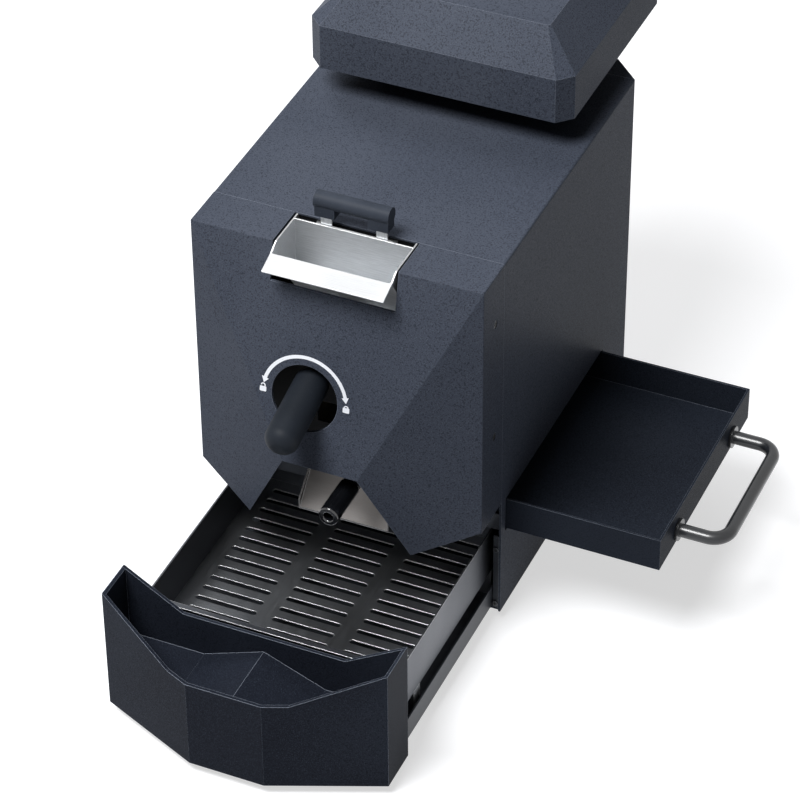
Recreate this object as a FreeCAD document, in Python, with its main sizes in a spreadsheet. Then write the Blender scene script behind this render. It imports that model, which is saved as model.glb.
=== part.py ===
import FreeCAD, Part
import math
import os
import re
import Sketcher

# Home coffee bean roaster with a faceted sheet-metal case, a front feed chute with a lifting
# gate, a turning drum, a cooling drawer at the front and a chaff drawer on the right side.
# Machine frame: X = 0 is the middle of the case, Y = 0 is the seam between the front cover
# and the case, with +Y to the back, and Z = 0 is the underside of the base plate.
# Each piece is then moved as one set, so that the row's origin is the bottom centre of its box.

SIZES = {
    # case
    "case_width": 210.0,
    "case_depth": 237.0,
    "case_height": 300.6,
    "case_wall": 1.5,
    "base_thickness": 2.0,
    "rear_depth": 20.0,
    "foot_height": 8.0,
    "foot_radius": 11.0,
    "foot_inset": 17.0,
    "post_width": 4.0,
    "post_depth": 14.0,
    # front cover
    "cover_side_depth": 35.0,
    "cover_nose_depth": 67.3,
    "cover_nose_half": 27.5,
    "cover_nose_bottom": 144.0,
    "cover_side_bottom": 99.4,
    "cover_leg_half": 60.5,
    "cover_leg_bottom": 79.3,
    "cover_wall": 2.0,
    "cover_edge_radius": 0.8,
    "notch_half": 45.0,
    "notch_bottom": 272.0,
    # feed chute and gate
    "chute_wall": 1.0,
    "chute_half": 42.5,
    "chute_lip_depth": 56.0,
    "chute_lip_height": 290.5,
    "chute_crest_depth": 42.0,
    "chute_crest_height": 295.5,
    "chute_rim_height": 300.2,
    "chute_back": 6.5,
    "chute_floor_end": 246.0,
    "feed_half": 20.0,
    "feed_rise": 54.0,
    "feed_height": 20.0,
    "gate_plate": 1.2,
    "gate_overlap": 7.0,
    "gate_tab_width": 8.0,
    "gate_tab_offset": 20.0,
    "gate_bar_radius": 6.0,
    "gate_bar_half": 27.0,
    "gate_bar_height": 320.0,
    "gate_bar_foot": 5.0,
    "guide_lap": 5.0,
    "guide_wall": 1.6,
    # drum and its plates
    "plate_thickness": 1.5,
    "plate_gap": 0.5,
    "plate_clearance": 1.7,
    "drum_floor_gap": 8.0,
    "drum_radius": 79.0,
    "drum_wall": 1.5,
    "drum_start": 6.0,
    "drive_room": 73.0,
    "drum_lip": 4.0,
    "drum_shaft_radius": 5.0,
    "spoke_width": 8.0,
    "vane_height": 12.0,
    "vane_wall": 1.2,
    "vane_twist": 40.0,
    "vane_gap": 4.0,
    "drum_vanes": 3,
    "drum_windows": 6,
    "window_span": 11.0,
    "window_start": 16.0,
    "window_rim": 12.0,
    "hub_radius": 10.0,
    "hub_length": 12.0,
    "spider_start": 46.0,
    "jacket_gap": 9.0,
    "jacket_wall": 1.0,
    "bearing_radius": 13.0,
    "bearing_width": 5.0,
    "shaft_play": 0.05,
    "chaff_slot": 18.0,
    "heater_radius": 4.0,
    "heater_rise": 17.0,
    "heater_offset": 62.0,
    # drum drive
    "gear_module": 1.5,
    "gear_teeth": 48,
    "pinion_teeth": 12,
    "gear_width": 6.0,
    "gear_play": 0.8,
    "gear_clearance": 4.0,
    "gear_holes": 6,
    "gear_hole_radius": 6.5,
    "motor_radius": 18.5,
    "motor_length": 30.0,
    "motor_shaft_radius": 3.0,
    "motor_plate": 2.0,
    "motor_shaft_grip": 6.0,
    "motor_plate_half": 34.0,
    "motor_plate_top": 16.0,
    "motor_post_x": 28.0,
    "motor_post_low": 28.0,
    "motor_post_high": 8.0,
    "post_radius": 3.0,
    # lever, shutter and discharge
    "lever_x": -14.5,
    "lever_height": 194.0,
    "lever_hole_radius": 24.0,
    "lever_shaft_radius": 4.0,
    "lever_tilt": 15.0,
    "grip_radius": 12.0,
    "grip_length": 66.0,
    "grip_start": 37.0,
    "grip_rise": 6.6,
    "grip_bore": 12.0,
    "grip_end_radius": 9.0,
    "bracket_depth": 15.0,
    "bracket_half": 9.0,
    "bracket_top": 12.0,
    "arm_width": 10.0,
    "shutter_hub_radius": 8.0,
    "shutter_reach": 70.0,
    "shutter_inner": 40.0,
    "shutter_half": 26.0,
    "shutter_plate": 1.5,
    "outlet_half": 18.0,
    "outlet_drop": 58.0,
    "outlet_height": 18.0,
    "spout_half": 34.0,
    "spout_depth": 31.0,
    "spout_low": 73.0,
    "trier_x": 13.5,
    "trier_drop": 65.0,
    "trier_radius": 6.5,
    "trier_front": 84.0,
    "trier_bore": 3.4,
    "trier_grip": 34.0,
    "trier_inside": 40.0,
    "spout_drop": 18.0,
    "spout_side": 8.0,
    # cooling drawer
    "cool_travel": 154.6,
    "front_side_gap": 1.3,
    "cool_front_depth": 32.2,
    "cool_nose_depth": 32.2,
    "cool_rim_half": 44.0,
    "drawer_gap": 1.0,
    "cool_back_low": 70.7,
    "cool_back_half": 59.6,
    "cool_wall": 2.5,
    "cool_floor_ridge": 58.0,
    "cool_floor_low": 40.0,
    "cool_floor_half": 45.0,
    "tray_side_gap": 8.9,
    "tray_rim": 65.5,
    "tray_floor": 28.0,
    "tray_gap": 10.6,
    "tray_length": 185.0,
    "tray_wall": 1.2,
    "tray_flange": 3.0,
    "tray_ledge": 5.0,
    "support_size": 10.0,
    "screen_wall": 1.0,
    "screen_slot": 4.0,
    "screen_margin": 12.0,
    "screen_rows": 15,
    "pan_side_gap": 4.5,
    "pan_height": 17.0,
    "pan_bottom": 4.6,
    "rail_width": 2.4,
    "rail_height": 14.0,
    # chaff drawer
    "chaff_travel": 112.6,
    "chaff_near": 8.6,
    "chaff_far": 189.9,
    "chaff_bottom": 70.2,
    "chaff_top": 96.1,
    "chaff_depth": 184.0,
    "chaff_wall": 1.5,
    "chaff_gap": 1.2,
    "runner_flange": 7.0,
    "runner_wall": 1.5,
    "runner_height": 14.0,
    "handle_rod_radius": 4.8,
    "handle_half": 55.0,
    "handle_reach": 34.0,
    "handle_bend": 13.0,
    "handle_height": 79.0,
    "plate_foot_radius": 8.0,
    # head
    "head_side_gap": 8.0,
    "head_front": 131.3,
    "head_back": 310.0,
    "head_gap": 24.1,
    "head_side_height": 34.0,
    "head_inset": 25.0,
    "head_rise": 24.9,
    "head_chamfer": 10.3,
    "chamfer_fade": 0.35,
    "head_wall": 2.0,
    "neck_half": 62.0,
    "neck_start": 172.0,
    "neck_wall": 2.0,
    "window_half": 34.0,
    "window_depth": 34.0,
    "window_wall": 2.0,
    "window_front": 176.0,
    "window_x": -22.0,
    "knob_radius": 11.0,
    "knob_height": 13.0,
    "knob_shaft_radius": 3.0,
    "knob_pitch": 33.0,
    "knob_row": 246.0,
    "knob_gap": 1.0,
    "power_radius": 7.0,
    "power_height": 3.5,
    "power_travel": 1.5,
    "power_row": 193.0,
    "power_x": 52.0,
    "board_thickness": 1.6,
    "board_drop": 12.0,
    "board_half": 66.0,
    # fans, outlet and mains
    "cool_fan_half": 30.0,
    "cool_fan_depth": 20.0,
    "fan_hub_radius": 11.0,
    "fan_hub_length": 11.0,
    "fan_blades": 7,
    "fan_blade_wall": 1.4,
    "fan_blade_pitch": 35.0,
    "duct_x": -47.0,
    "duct_drop": 39.6,
    "duct_radius": 31.0,
    "duct_wall": 1.5,
    "spigot_length": 22.0,
    "inlet_x": 62.0,
    "inlet_height": 120.0,
    "inlet_half_width": 13.5,
    "inlet_half_height": 10.0,
    "switch_height": 158.0,
    "switch_half_width": 10.0,
    "switch_half_height": 7.0,
    "switch_tilt": 8.0,
    "rocker_depth": 2.0,
    "vent_rows": 6,
    "vent_pitch": 9.0,
    "vent_slot": 4.0,
    "vent_half": 22.0,
    # fasteners and running gaps
    "post_screw_low": 7.5,
    "post_screw_high": 56.5,
    "cover_screw_depth": 14.6,
    "cover_screw_low": 168.0,
    "cover_screw_high": 262.0,
    "screw_radius": 1.5,
    "screw_head_radius": 3.0,
    "screw_head_height": 1.4,
    "run_gap": 0.4,
}

# Places that follow from the sizes above.
DERIVED = {
    "case_half": "case_width / 2",
    "case_inner_half": "case_half - case_wall",
    "cool_front_half": "case_half - front_side_gap",
    "tray_half": "case_inner_half - tray_side_gap",
    "pan_half": "case_inner_half - pan_side_gap",
    "screen_slot_length": "(2 * (tray_half - tray_wall) - 4 * screen_margin) / 3",
    "head_half": "case_half - head_side_gap",
    "duct_height": "case_height - duct_drop",
    "plate_bottom": "chaff_top + chaff_gap + plate_clearance",
    "drum_height": "plate_bottom + drum_radius + drum_floor_gap",
    "heater_height": "plate_bottom + heater_rise",
    "outlet_bottom": "drum_height - outlet_drop",
    "trier_height": "drum_height - trier_drop",
    "feed_bottom": "drum_height + feed_rise",
    "rear_inner": "case_depth + rear_depth - case_wall",
    "chaff_face": "case_half + chaff_travel",
    "handle_end": "chaff_face + handle_reach + handle_rod_radius",
    "cool_back": "-(cover_side_depth + cool_travel) + cool_front_depth",
    "cool_side": "-(cover_side_depth + cool_travel)",
    "cool_nose": "cool_side - cool_nose_depth",
    "leg_slope": "(cover_side_bottom - cover_leg_bottom) / (case_half - cover_leg_half)",
    "cool_rim_high": "cover_side_bottom - drawer_gap - leg_slope * (case_half - cool_front_half)",
    "cool_rim_low": "cover_leg_bottom - drawer_gap - leg_slope * (cover_leg_half - cool_rim_half)",
    "facet_run": "cover_nose_depth - cover_side_depth",
    "facet_span": "case_half - cover_nose_half",
    "facet_length": "sqrt(facet_run ^ 2 + facet_span ^ 2)",
    "face_lean": "facet_run / (case_height - cover_nose_bottom)",
    "cool_fan_height": "base_thickness + cool_fan_half",
    "row_x": "-(handle_end - case_half) / 2",
    "row_y": "-(head_back + cool_nose) / 2",
    "head_bottom": "case_height + head_gap",
    "head_shoulder": "head_bottom + head_side_height",
    "head_top": "head_shoulder + head_rise",
    "plate_front": "plate_gap",
    "plate_back": "plate_gap + plate_thickness",
    "drum_length": "case_depth - drive_room",
    "drum_end": "drum_start + drum_length",
    "rear_plate": "drum_end + chaff_slot",
    "rear_plate_back": "rear_plate + plate_thickness",
    "gear_start": "rear_plate_back + gear_clearance",
    "gear_pitch_radius": "gear_module * gear_teeth / 2",
    "pinion_pitch_radius": "gear_module * pinion_teeth / 2",
    "gear_centres": "gear_pitch_radius + pinion_pitch_radius",
    "motor_height": "drum_height - gear_centres",
    "motor_start": "gear_start + gear_width + gear_clearance",
    "jacket_radius": "drum_radius + jacket_gap",
    "gate_front": "-chute_back + chute_wall + run_gap",
    "gate_back": "gate_front + gate_plate",
    "feed_top": "feed_bottom + feed_height",
    "gate_half": "feed_half + gate_overlap",
    "gate_low": "feed_bottom - gate_overlap",
    "gate_high": "chute_rim_height - 0.6",
    "outlet_top": "outlet_bottom + outlet_height",
    "shutter_front": "plate_front - run_gap - shutter_plate",
    "tray_front": "cool_back + tray_gap",
    "tray_back": "tray_front + tray_length",
    "chaff_inner_x": "chaff_face - chaff_depth",
    "runner_low": "chaff_bottom - run_gap - runner_wall",
}

doc = FreeCAD.newDocument("roaster")
sheet = doc.addObject("Spreadsheet::Sheet", "dims")
for row, (name, number) in enumerate(SIZES.items(), 1):
    sheet.set(f"A{row}", name)
    sheet.set(f"B{row}", str(number))
    sheet.setAlias(f"B{row}", name)
doc.recompute()

WORD = re.compile(r"[a-z][a-z0-9]*(?:_[a-z0-9]+)+")


def bind(text):
    """Writes an expression of size names as one that reads the sheet."""
    def swap(match):
        word = match.group()
        if word in DERIVED:
            return f"({bind(DERIVED[word])})"
        return f"dims.{word}"
    return WORD.sub(swap, str(text))


def number(text):
    """The present value of an expression of size names."""
    return float(sheet.evalExpression(bind(text)))


def tie(thing, prop, text):
    """Binds one property to an expression of size names."""
    thing.setExpression(prop, bind(text))


PIECES = []


def place(thing, at=("0", "0", "0")):
    """Ties a piece's Placement to its own point in the machine and to the row's origin."""
    tie(thing, "Placement.Base.x", f"row_x + ({at[0]})")
    tie(thing, "Placement.Base.y", f"row_y + ({at[1]})")
    tie(thing, "Placement.Base.z", f"foot_height + ({at[2]})")


def keep(thing, label, at=("0", "0", "0")):
    """Gives a finished sub-part its name and place."""
    thing.Label = label
    place(thing, at)
    PIECES.append(thing)
    return thing


# Outlines for sketches. Each is a list of drawing steps in the sketch's own two directions.
def poly(*points):
    return [("poly", points)]


def rect(x_low, x_high, y_low, y_high):
    return poly((x_low, y_low), (x_high, y_low), (x_high, y_high), (x_low, y_high))


def ring(x, y, radius):
    return [("ring", (x, y, radius))]


def slot(x_low, x_high, y, radius):
    return [("slot", (x_low, x_high, y, radius))]


def pin_point(sketch, index, end, point):
    """Fixes one point of a sketch's geometry at two bound distances from its origin."""
    for kind, text in zip(("DistanceX", "DistanceY"), point):
        place_value = number(text)
        if abs(place_value) < 1e-9 and re.fullmatch(r"0", str(text)):
            axis = -2 if kind == "DistanceX" else -1
            sketch.addConstraint(Sketcher.Constraint("PointOnObject", index, end, axis))
        else:
            row = sketch.addConstraint(Sketcher.Constraint(kind, -1, 1, index, end, place_value))
            tie(sketch, f"Constraints[{row}]", text)


def draw_poly(sketch, points):
    spots = [FreeCAD.Vector(number(x), number(y), 0) for x, y in points]
    first = sketch.GeometryCount
    for here, there in zip(spots, spots[1:] + spots[:1]):
        sketch.addGeometry(Part.LineSegment(here, there), False)
    count = len(points)
    for step in range(count):
        link = ("Coincident", first + step, 2, first + (step + 1) % count, 1)
        sketch.addConstraint(Sketcher.Constraint(*link))
        pin_point(sketch, first + step, 1, points[step])


def draw_ring(sketch, shape):
    x, y, radius = shape
    middle = FreeCAD.Vector(number(x), number(y), 0)
    index = sketch.addGeometry(Part.Circle(middle, FreeCAD.Vector(0, 0, 1), number(radius)), False)
    row = sketch.addConstraint(Sketcher.Constraint("Radius", index, number(radius)))
    tie(sketch, f"Constraints[{row}]", radius)
    pin_point(sketch, index, 3, (x, y))


def draw_slot(sketch, shape):
    x_low, x_high, y, radius = shape
    low, high, level, size = (number(text) for text in shape)
    up = FreeCAD.Vector(0, 0, 1)
    ends = []
    for x, start in ((low, math.pi / 2), (high, -math.pi / 2)):
        circle = Part.Circle(FreeCAD.Vector(x, level, 0), up, size)
        ends.append(sketch.addGeometry(Part.ArcOfCircle(circle, start, start + math.pi), False))
    lines = []
    for side in (-1, 1):
        here = FreeCAD.Vector(low, level + side * size, 0)
        there = FreeCAD.Vector(high, level + side * size, 0)
        lines.append(sketch.addGeometry(Part.LineSegment(here, there), False))
    for line, low_end, high_end in ((lines[0], 2, 1), (lines[1], 1, 2)):
        sketch.addConstraint(Sketcher.Constraint("Tangent", line, 1, ends[0], low_end))
        sketch.addConstraint(Sketcher.Constraint("Tangent", line, 2, ends[1], high_end))
    sketch.addConstraint(Sketcher.Constraint("Equal", ends[0], ends[1]))
    row = sketch.addConstraint(Sketcher.Constraint("Radius", ends[0], size))
    tie(sketch, f"Constraints[{row}]", radius)
    pin_point(sketch, ends[0], 3, (x_low, y))
    pin_point(sketch, ends[1], 3, (x_high, y))


DRAW = {"poly": draw_poly, "ring": draw_ring, "slot": draw_slot}

# A sketch on XY looks along Z, one on XZ along -Y and one on YZ along X.
PLANES = {"XY": ("XY_Plane", 1), "XZ": ("XZ_Plane", -1), "YZ": ("YZ_Plane", 1)}
AXES = {"X": "X_Axis", "Y": "Y_Axis", "Z": "Z_Axis"}


def origin_part(body, role):
    return next(part for part in body.Origin.OriginFeatures if part.Role == role)


class Piece:
    """A body built of sketches on its own origin planes, with pads, pockets and patterns."""

    def __init__(self, label, at=("0", "0", "0")):
        self.body = doc.addObject("PartDesign::Body", label)
        keep(self.body, label, at)
        self.steps = 0

    def name(self, word):
        self.steps += 1
        return f"{self.body.Name}_{word}{self.steps}"

    def sketch(self, plane, outline, offset="0"):
        role, sense = PLANES[plane]
        sketch = self.body.newObject("Sketcher::SketchObject", self.name("sketch"))
        sketch.AttachmentSupport = (origin_part(self.body, role), [""])
        sketch.MapMode = "FlatFace"
        tie(sketch, "AttachmentOffset.Base.z", f"{sense} * ({offset})")
        for kind, shape in outline:
            DRAW[kind](sketch, shape)
        doc.recompute()
        return sketch

    def grow(self, plane, outline, low, high):
        """Pads an outline from low to high along the plane's world axis."""
        pad = self.body.newObject("PartDesign::Pad", self.name("pad"))
        pad.Profile = self.sketch(plane, outline, low)
        pad.Reversed = PLANES[plane][1] < 0
        tie(pad, "Length", f"({high}) - ({low})")
        self.body.Tip = pad
        doc.recompute()
        return pad

    def cut(self, plane, outline, low, high):
        """Pockets an outline from low to high along the plane's world axis."""
        before = self.body.Shape.Volume
        pocket = self.body.newObject("PartDesign::Pocket", self.name("pocket"))
        pocket.Profile = self.sketch(plane, outline, low)
        pocket.Type = "Length"
        pocket.Reversed = PLANES[plane][1] > 0
        tie(pocket, "Length", f"({high}) - ({low})")
        self.body.Tip = pocket
        doc.recompute()
        if not self.body.Shape.Volume < before - 1e-6:
            raise RuntimeError(f"{pocket.Name} removes nothing")
        return pocket

    def loft(self, plane, outline, low, outline_high, high, subtract=False):
        kind = "PartDesign::SubtractiveLoft" if subtract else "PartDesign::AdditiveLoft"
        loft = self.body.newObject(kind, self.name("loft"))
        loft.Profile = self.sketch(plane, outline, low)
        loft.Sections = [self.sketch(plane, outline_high, high)]
        loft.Ruled = True
        self.body.Tip = loft
        doc.recompute()
        return loft

    def row(self, features, axis, pitch, count):
        """Repeats features along an origin axis at a pitch."""
        pattern = self.body.newObject("PartDesign::LinearPattern", self.name("row"))
        pattern.Originals = features
        pattern.Direction = (origin_part(self.body, AXES[axis]), [""])
        tie(pattern, "Length", f"({pitch}) * (({count}) - 1)")
        tie(pattern, "Occurrences", count)
        self.body.Tip = pattern
        doc.recompute()
        return pattern

    def wheel(self, features, axis, count):
        """Repeats features round an origin axis."""
        pattern = self.body.newObject("PartDesign::PolarPattern", self.name("wheel"))
        pattern.Originals = features
        pattern.Axis = (origin_part(self.body, AXES[axis]), [""])
        pattern.Angle = 360
        tie(pattern, "Occurrences", count)
        self.body.Tip = pattern
        doc.recompute()
        return pattern

    def round_edges(self, radius, choose):
        """Fillets the edges for which choose(edge) is true."""
        last = self.body.Tip
        names = [f"Edge{place}" for place, edge in enumerate(last.Shape.Edges, 1) if choose(edge)]
        if not names:
            raise RuntimeError(f"{self.body.Label} has no edge to round")
        fillet = self.body.newObject("PartDesign::Fillet", self.name("fillet"))
        fillet.Base = (last, names)
        tie(fillet, "Radius", radius)
        self.body.Tip = fillet
        doc.recompute()
        return fillet


TURNS = {"X": (0, 1, 0, 90), "Y": (1, 0, 0, -90), "Z": (0, 0, 1, 0)}


def cylinder(axis, at, radius, length, top_radius=None):
    """A plain cylinder or cone that starts at a point and runs in the plus direction of an axis."""
    kind = "Part::Cone" if top_radius else "Part::Cylinder"
    solid = doc.addObject(kind, "round")
    x, y, z, angle = TURNS[axis]
    turn = FreeCAD.Rotation(FreeCAD.Vector(x, y, z), angle)
    solid.Placement = FreeCAD.Placement(FreeCAD.Vector(), turn)
    for part, text in zip("xyz", at):
        tie(solid, f"Placement.Base.{part}", text)
    tie(solid, "Radius1" if top_radius else "Radius", radius)
    if top_radius:
        tie(solid, "Radius2", top_radius)
    tie(solid, "Height", length)
    return solid


def box(x_low, x_high, y_low, y_high, z_low, z_high):
    solid = doc.addObject("Part::Box", "block")
    ends = (("Length", "x", x_low, x_high), ("Width", "y", y_low, y_high), ("Height", "z", z_low, z_high))
    for prop, part, low, high in ends:
        tie(solid, f"Placement.Base.{part}", low)
        tie(solid, prop, f"({high}) - ({low})")
    return solid


def group(label, solids):
    """Separate solids of one kind in one node."""
    bunch = doc.addObject("Part::Compound", label)
    bunch.Links = solids
    return keep(bunch, label)


def fuse(label, solids):
    joined = doc.addObject("Part::MultiFuse", label)
    joined.Shapes = solids
    return keep(joined, label)


def subtract(label, base, tool):
    result = doc.addObject("Part::Cut", label)
    result.Base = base
    result.Tool = tool
    return keep(result, label)


def loose(piece):
    """Takes a body that is only a step of another piece off the list and back to its own frame."""
    PIECES.remove(piece.body)
    for part in "xyz":
        piece.body.setExpression(f"Placement.Base.{part}", "0")
    return piece.body


def on_line(edge, axis, *checks):
    """True for a straight edge along an axis whose middle is at the given coordinates."""
    if edge.Curve.TypeId != "Part::GeomLine":
        return False
    if axis and abs(abs(getattr(edge.Curve.Direction, axis)) - 1) > 1e-6:
        return False
    middle = edge.CenterOfMass
    return all(abs(getattr(middle, part) - place_value) < 0.01 for part, place_value in checks)


# Base plate, feet and case


def make_base():
    plate = Piece("base_plate")
    plate.grow("XY", poly(
        ("-case_inner_half", "0"),
        ("case_inner_half", "0"),
        ("case_inner_half", "case_depth"),
        ("case_half - 2 * case_wall", "case_depth"),
        ("case_half - rear_depth - case_wall", "rear_inner"),
        ("-(case_half - rear_depth - case_wall)", "rear_inner"),
        ("-(case_half - 2 * case_wall)", "case_depth"),
        ("-case_inner_half", "case_depth"),
    ), "case_wall", "case_wall + base_thickness")
    feet = []
    for x in ("-(case_half - foot_inset)", "case_half - foot_inset"):
        for y in ("foot_inset", "case_depth - foot_inset"):
            at = (x, y, "-foot_height")
            feet.append(cylinder("Z", at, "foot_radius - 1.5", "foot_height + case_wall", "foot_radius"))
    group("feet", feet)


def make_case():
    shell = Piece("case_shell")
    shell.grow("XZ", rect("-case_half", "case_half", "0", "case_height"), "0", "case_depth")
    top = number("case_height")
    shell.round_edges("case_wall", lambda edge: on_line(edge, "y", ("z", top)))
    shell.cut("XZ", rect("-case_inner_half", "case_inner_half", "-1", "case_height - case_wall"),
              "-1", "case_depth + 1")
    opening = rect("chaff_near - chaff_gap", "chaff_far + chaff_gap",
                   "runner_low", "chaff_top + chaff_gap")
    shell.cut("YZ", opening, "case_inner_half - 1", "case_half + 1")


def rear_outline(inset):
    """The case's rear in plan: a flat back with a 45 degree chamfer at each side."""
    side = f"case_half - {inset} * sqrt(2)"
    corner = f"case_half - rear_depth + {inset} * (1 - sqrt(2))"
    back = f"case_depth + rear_depth - {inset}"
    return poly(
        (side, "case_depth"), (corner, back), (f"-({corner})", back), (f"-({side})", "case_depth")
    )


def make_rear():
    cover = Piece("rear_cover")
    cover.grow("XY", rear_outline("0"), "0", "case_height")
    inner = rear_outline("case_wall")
    cover.cut("XY", inner, "case_wall", "case_height - case_wall")
    through = ("rear_inner - 1", "case_depth + rear_depth + 1")
    cover.cut("XZ", ring("duct_x", "duct_height", "duct_radius - duct_wall"), *through)
    for height, width, tall in (
        ("inlet_height", "inlet_half_width", "inlet_half_height"),
        ("switch_height", "switch_half_width", "switch_half_height"),
    ):
        hole = rect(f"inlet_x - {width}", f"inlet_x + {width}", f"{height} - {tall}", f"{height} + {tall}")
        cover.cut("XZ", hole, *through)
    low = "cool_fan_height - vent_pitch * (vent_rows - 1) / 2"
    vent = cover.cut("XZ", slot("-vent_half", "vent_half", low, "vent_slot / 2"), *through)
    cover.row([vent], "Z", "vent_pitch", "vent_rows")


def make_posts():
    for label, side in (("front_post_left", "-1"), ("front_post_right", "1")):
        post = Piece(label)
        outer = f"{side} * case_inner_half"
        inner = f"{side} * (case_inner_half - post_width)"
        web = f"{side} * (case_inner_half - case_wall)"
        post.grow("XY", poly(
            (inner, "0"), (outer, "0"), (outer, "post_depth"),
            (web, "post_depth"), (web, "case_wall"), (inner, "case_wall"),
        ), "case_wall + base_thickness", "runner_low - run_gap")
        middle = f"{side} * (case_inner_half - post_width / 2)"
        for height in ("post_screw_low", "post_screw_high"):
            post.cut("XZ", ring(middle, height, "screw_radius"), "-1", "case_wall + 0.5")
    screws = []
    for side in ("-1", "1"):
        middle = f"{side} * (case_inner_half - post_width / 2)"
        for height in ("post_screw_low", "post_screw_high"):
            screw = Piece("post_screw")
            screw.grow("XZ", ring(middle, height, "screw_head_radius - 1"), "-screw_head_height", "0")
            screw.grow("XZ", ring(middle, height, "screw_radius"), "-0.5", "case_wall")
            screws.append(loose(screw))
    return screws


# Front cover: a folded shell with two upright facets, a leaning middle panel and two legs


def cover_block(label, inset):
    """The cover's solid form, inset all over by a wall."""
    side = f"case_half - {inset}"
    bend = f"-cover_side_depth + {inset} * (facet_length - facet_run) / facet_span"
    nose = f"-cover_nose_depth + {inset}"
    nose_half = f"cover_nose_half - {inset} * (facet_length - facet_span) / facet_run"
    block = Piece(label)
    block.grow("XY", poly(
        (f"-({side})", "0"), (f"-({side})", bend), (f"-({nose_half})", nose),
        (nose_half, nose), (side, bend), (side, "0"),
    ), "cover_leg_bottom - 10", f"case_height - {inset}")
    slope = f"{inset} * sqrt(1 + face_lean ^ 2)"
    far = "-cover_nose_depth - 5"
    block.cut("YZ", poly(
        (f"-cover_side_depth + {slope} + face_lean * 10", "case_height + 10"),
        (f"-cover_nose_depth + {slope} - face_lean * 10", "cover_nose_bottom - 10"),
        (far, "cover_nose_bottom - 10"), (far, "case_height + 10"),
    ), "-case_half", "case_half")
    return block


def make_cover(post_screws):
    outer = cover_block("cover_outer", "0")
    top = number("case_height")
    side = number("case_half")
    bend = -number("cover_side_depth")

    def outside_edge(edge):
        middle = edge.CenterOfMass
        if on_line(edge, "z", ("y", bend)) or on_line(edge, "y", ("z", top)):
            return True
        across = on_line(edge, "", ("z", top)) and middle.y < bend + 0.01
        ends = sorted(vertex.Point.z for vertex in edge.Vertexes)
        slanted = ends[-1] > top - 0.01 and ends[0] < top - 50 and abs(middle.x) < side - 1
        return across or slanted

    outer.round_edges("cover_edge_radius", outside_edge)
    below = "cover_leg_bottom - 20"
    outer.cut("XZ", poly(
        ("-case_half - 1", "cover_side_bottom"), ("-case_half", "cover_side_bottom"),
        ("-cover_leg_half", "cover_leg_bottom"), ("-cover_nose_half", "cover_nose_bottom"),
        ("cover_nose_half", "cover_nose_bottom"), ("cover_leg_half", "cover_leg_bottom"),
        ("case_half", "cover_side_bottom"), ("case_half + 1", "cover_side_bottom"),
        ("case_half + 1", below), ("-case_half - 1", below),
    ), "-cover_nose_depth - 1", "1")
    outer.cut("XZ", rect("-notch_half", "notch_half", "notch_bottom", "case_height + 1"),
              "-cover_nose_depth - 1", "1")
    outer.cut("XZ", ring("lever_x", "lever_height", "lever_hole_radius"), "-cover_nose_depth - 1", "1")
    for height in ("cover_screw_low", "cover_screw_high"):
        hole = ring("-cover_screw_depth", height, "screw_head_radius")
        outer.cut("YZ", hole, "-case_half - 1", "case_half + 1")
    inner = cover_block("cover_inner", "cover_wall")
    subtract("front_cover", loose(outer), loose(inner))
    screws = list(post_screws)
    for height in ("cover_screw_low", "cover_screw_high"):
        for start in ("-(case_half - 0.4)", "case_half - cover_wall"):
            at = (start, "-cover_screw_depth", height)
            screws.append(cylinder("X", at, "screw_head_radius", "cover_wall - 0.4"))
    group("case_screws", screws)


# Feed: chute, gate plate, its handle and its guides


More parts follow.
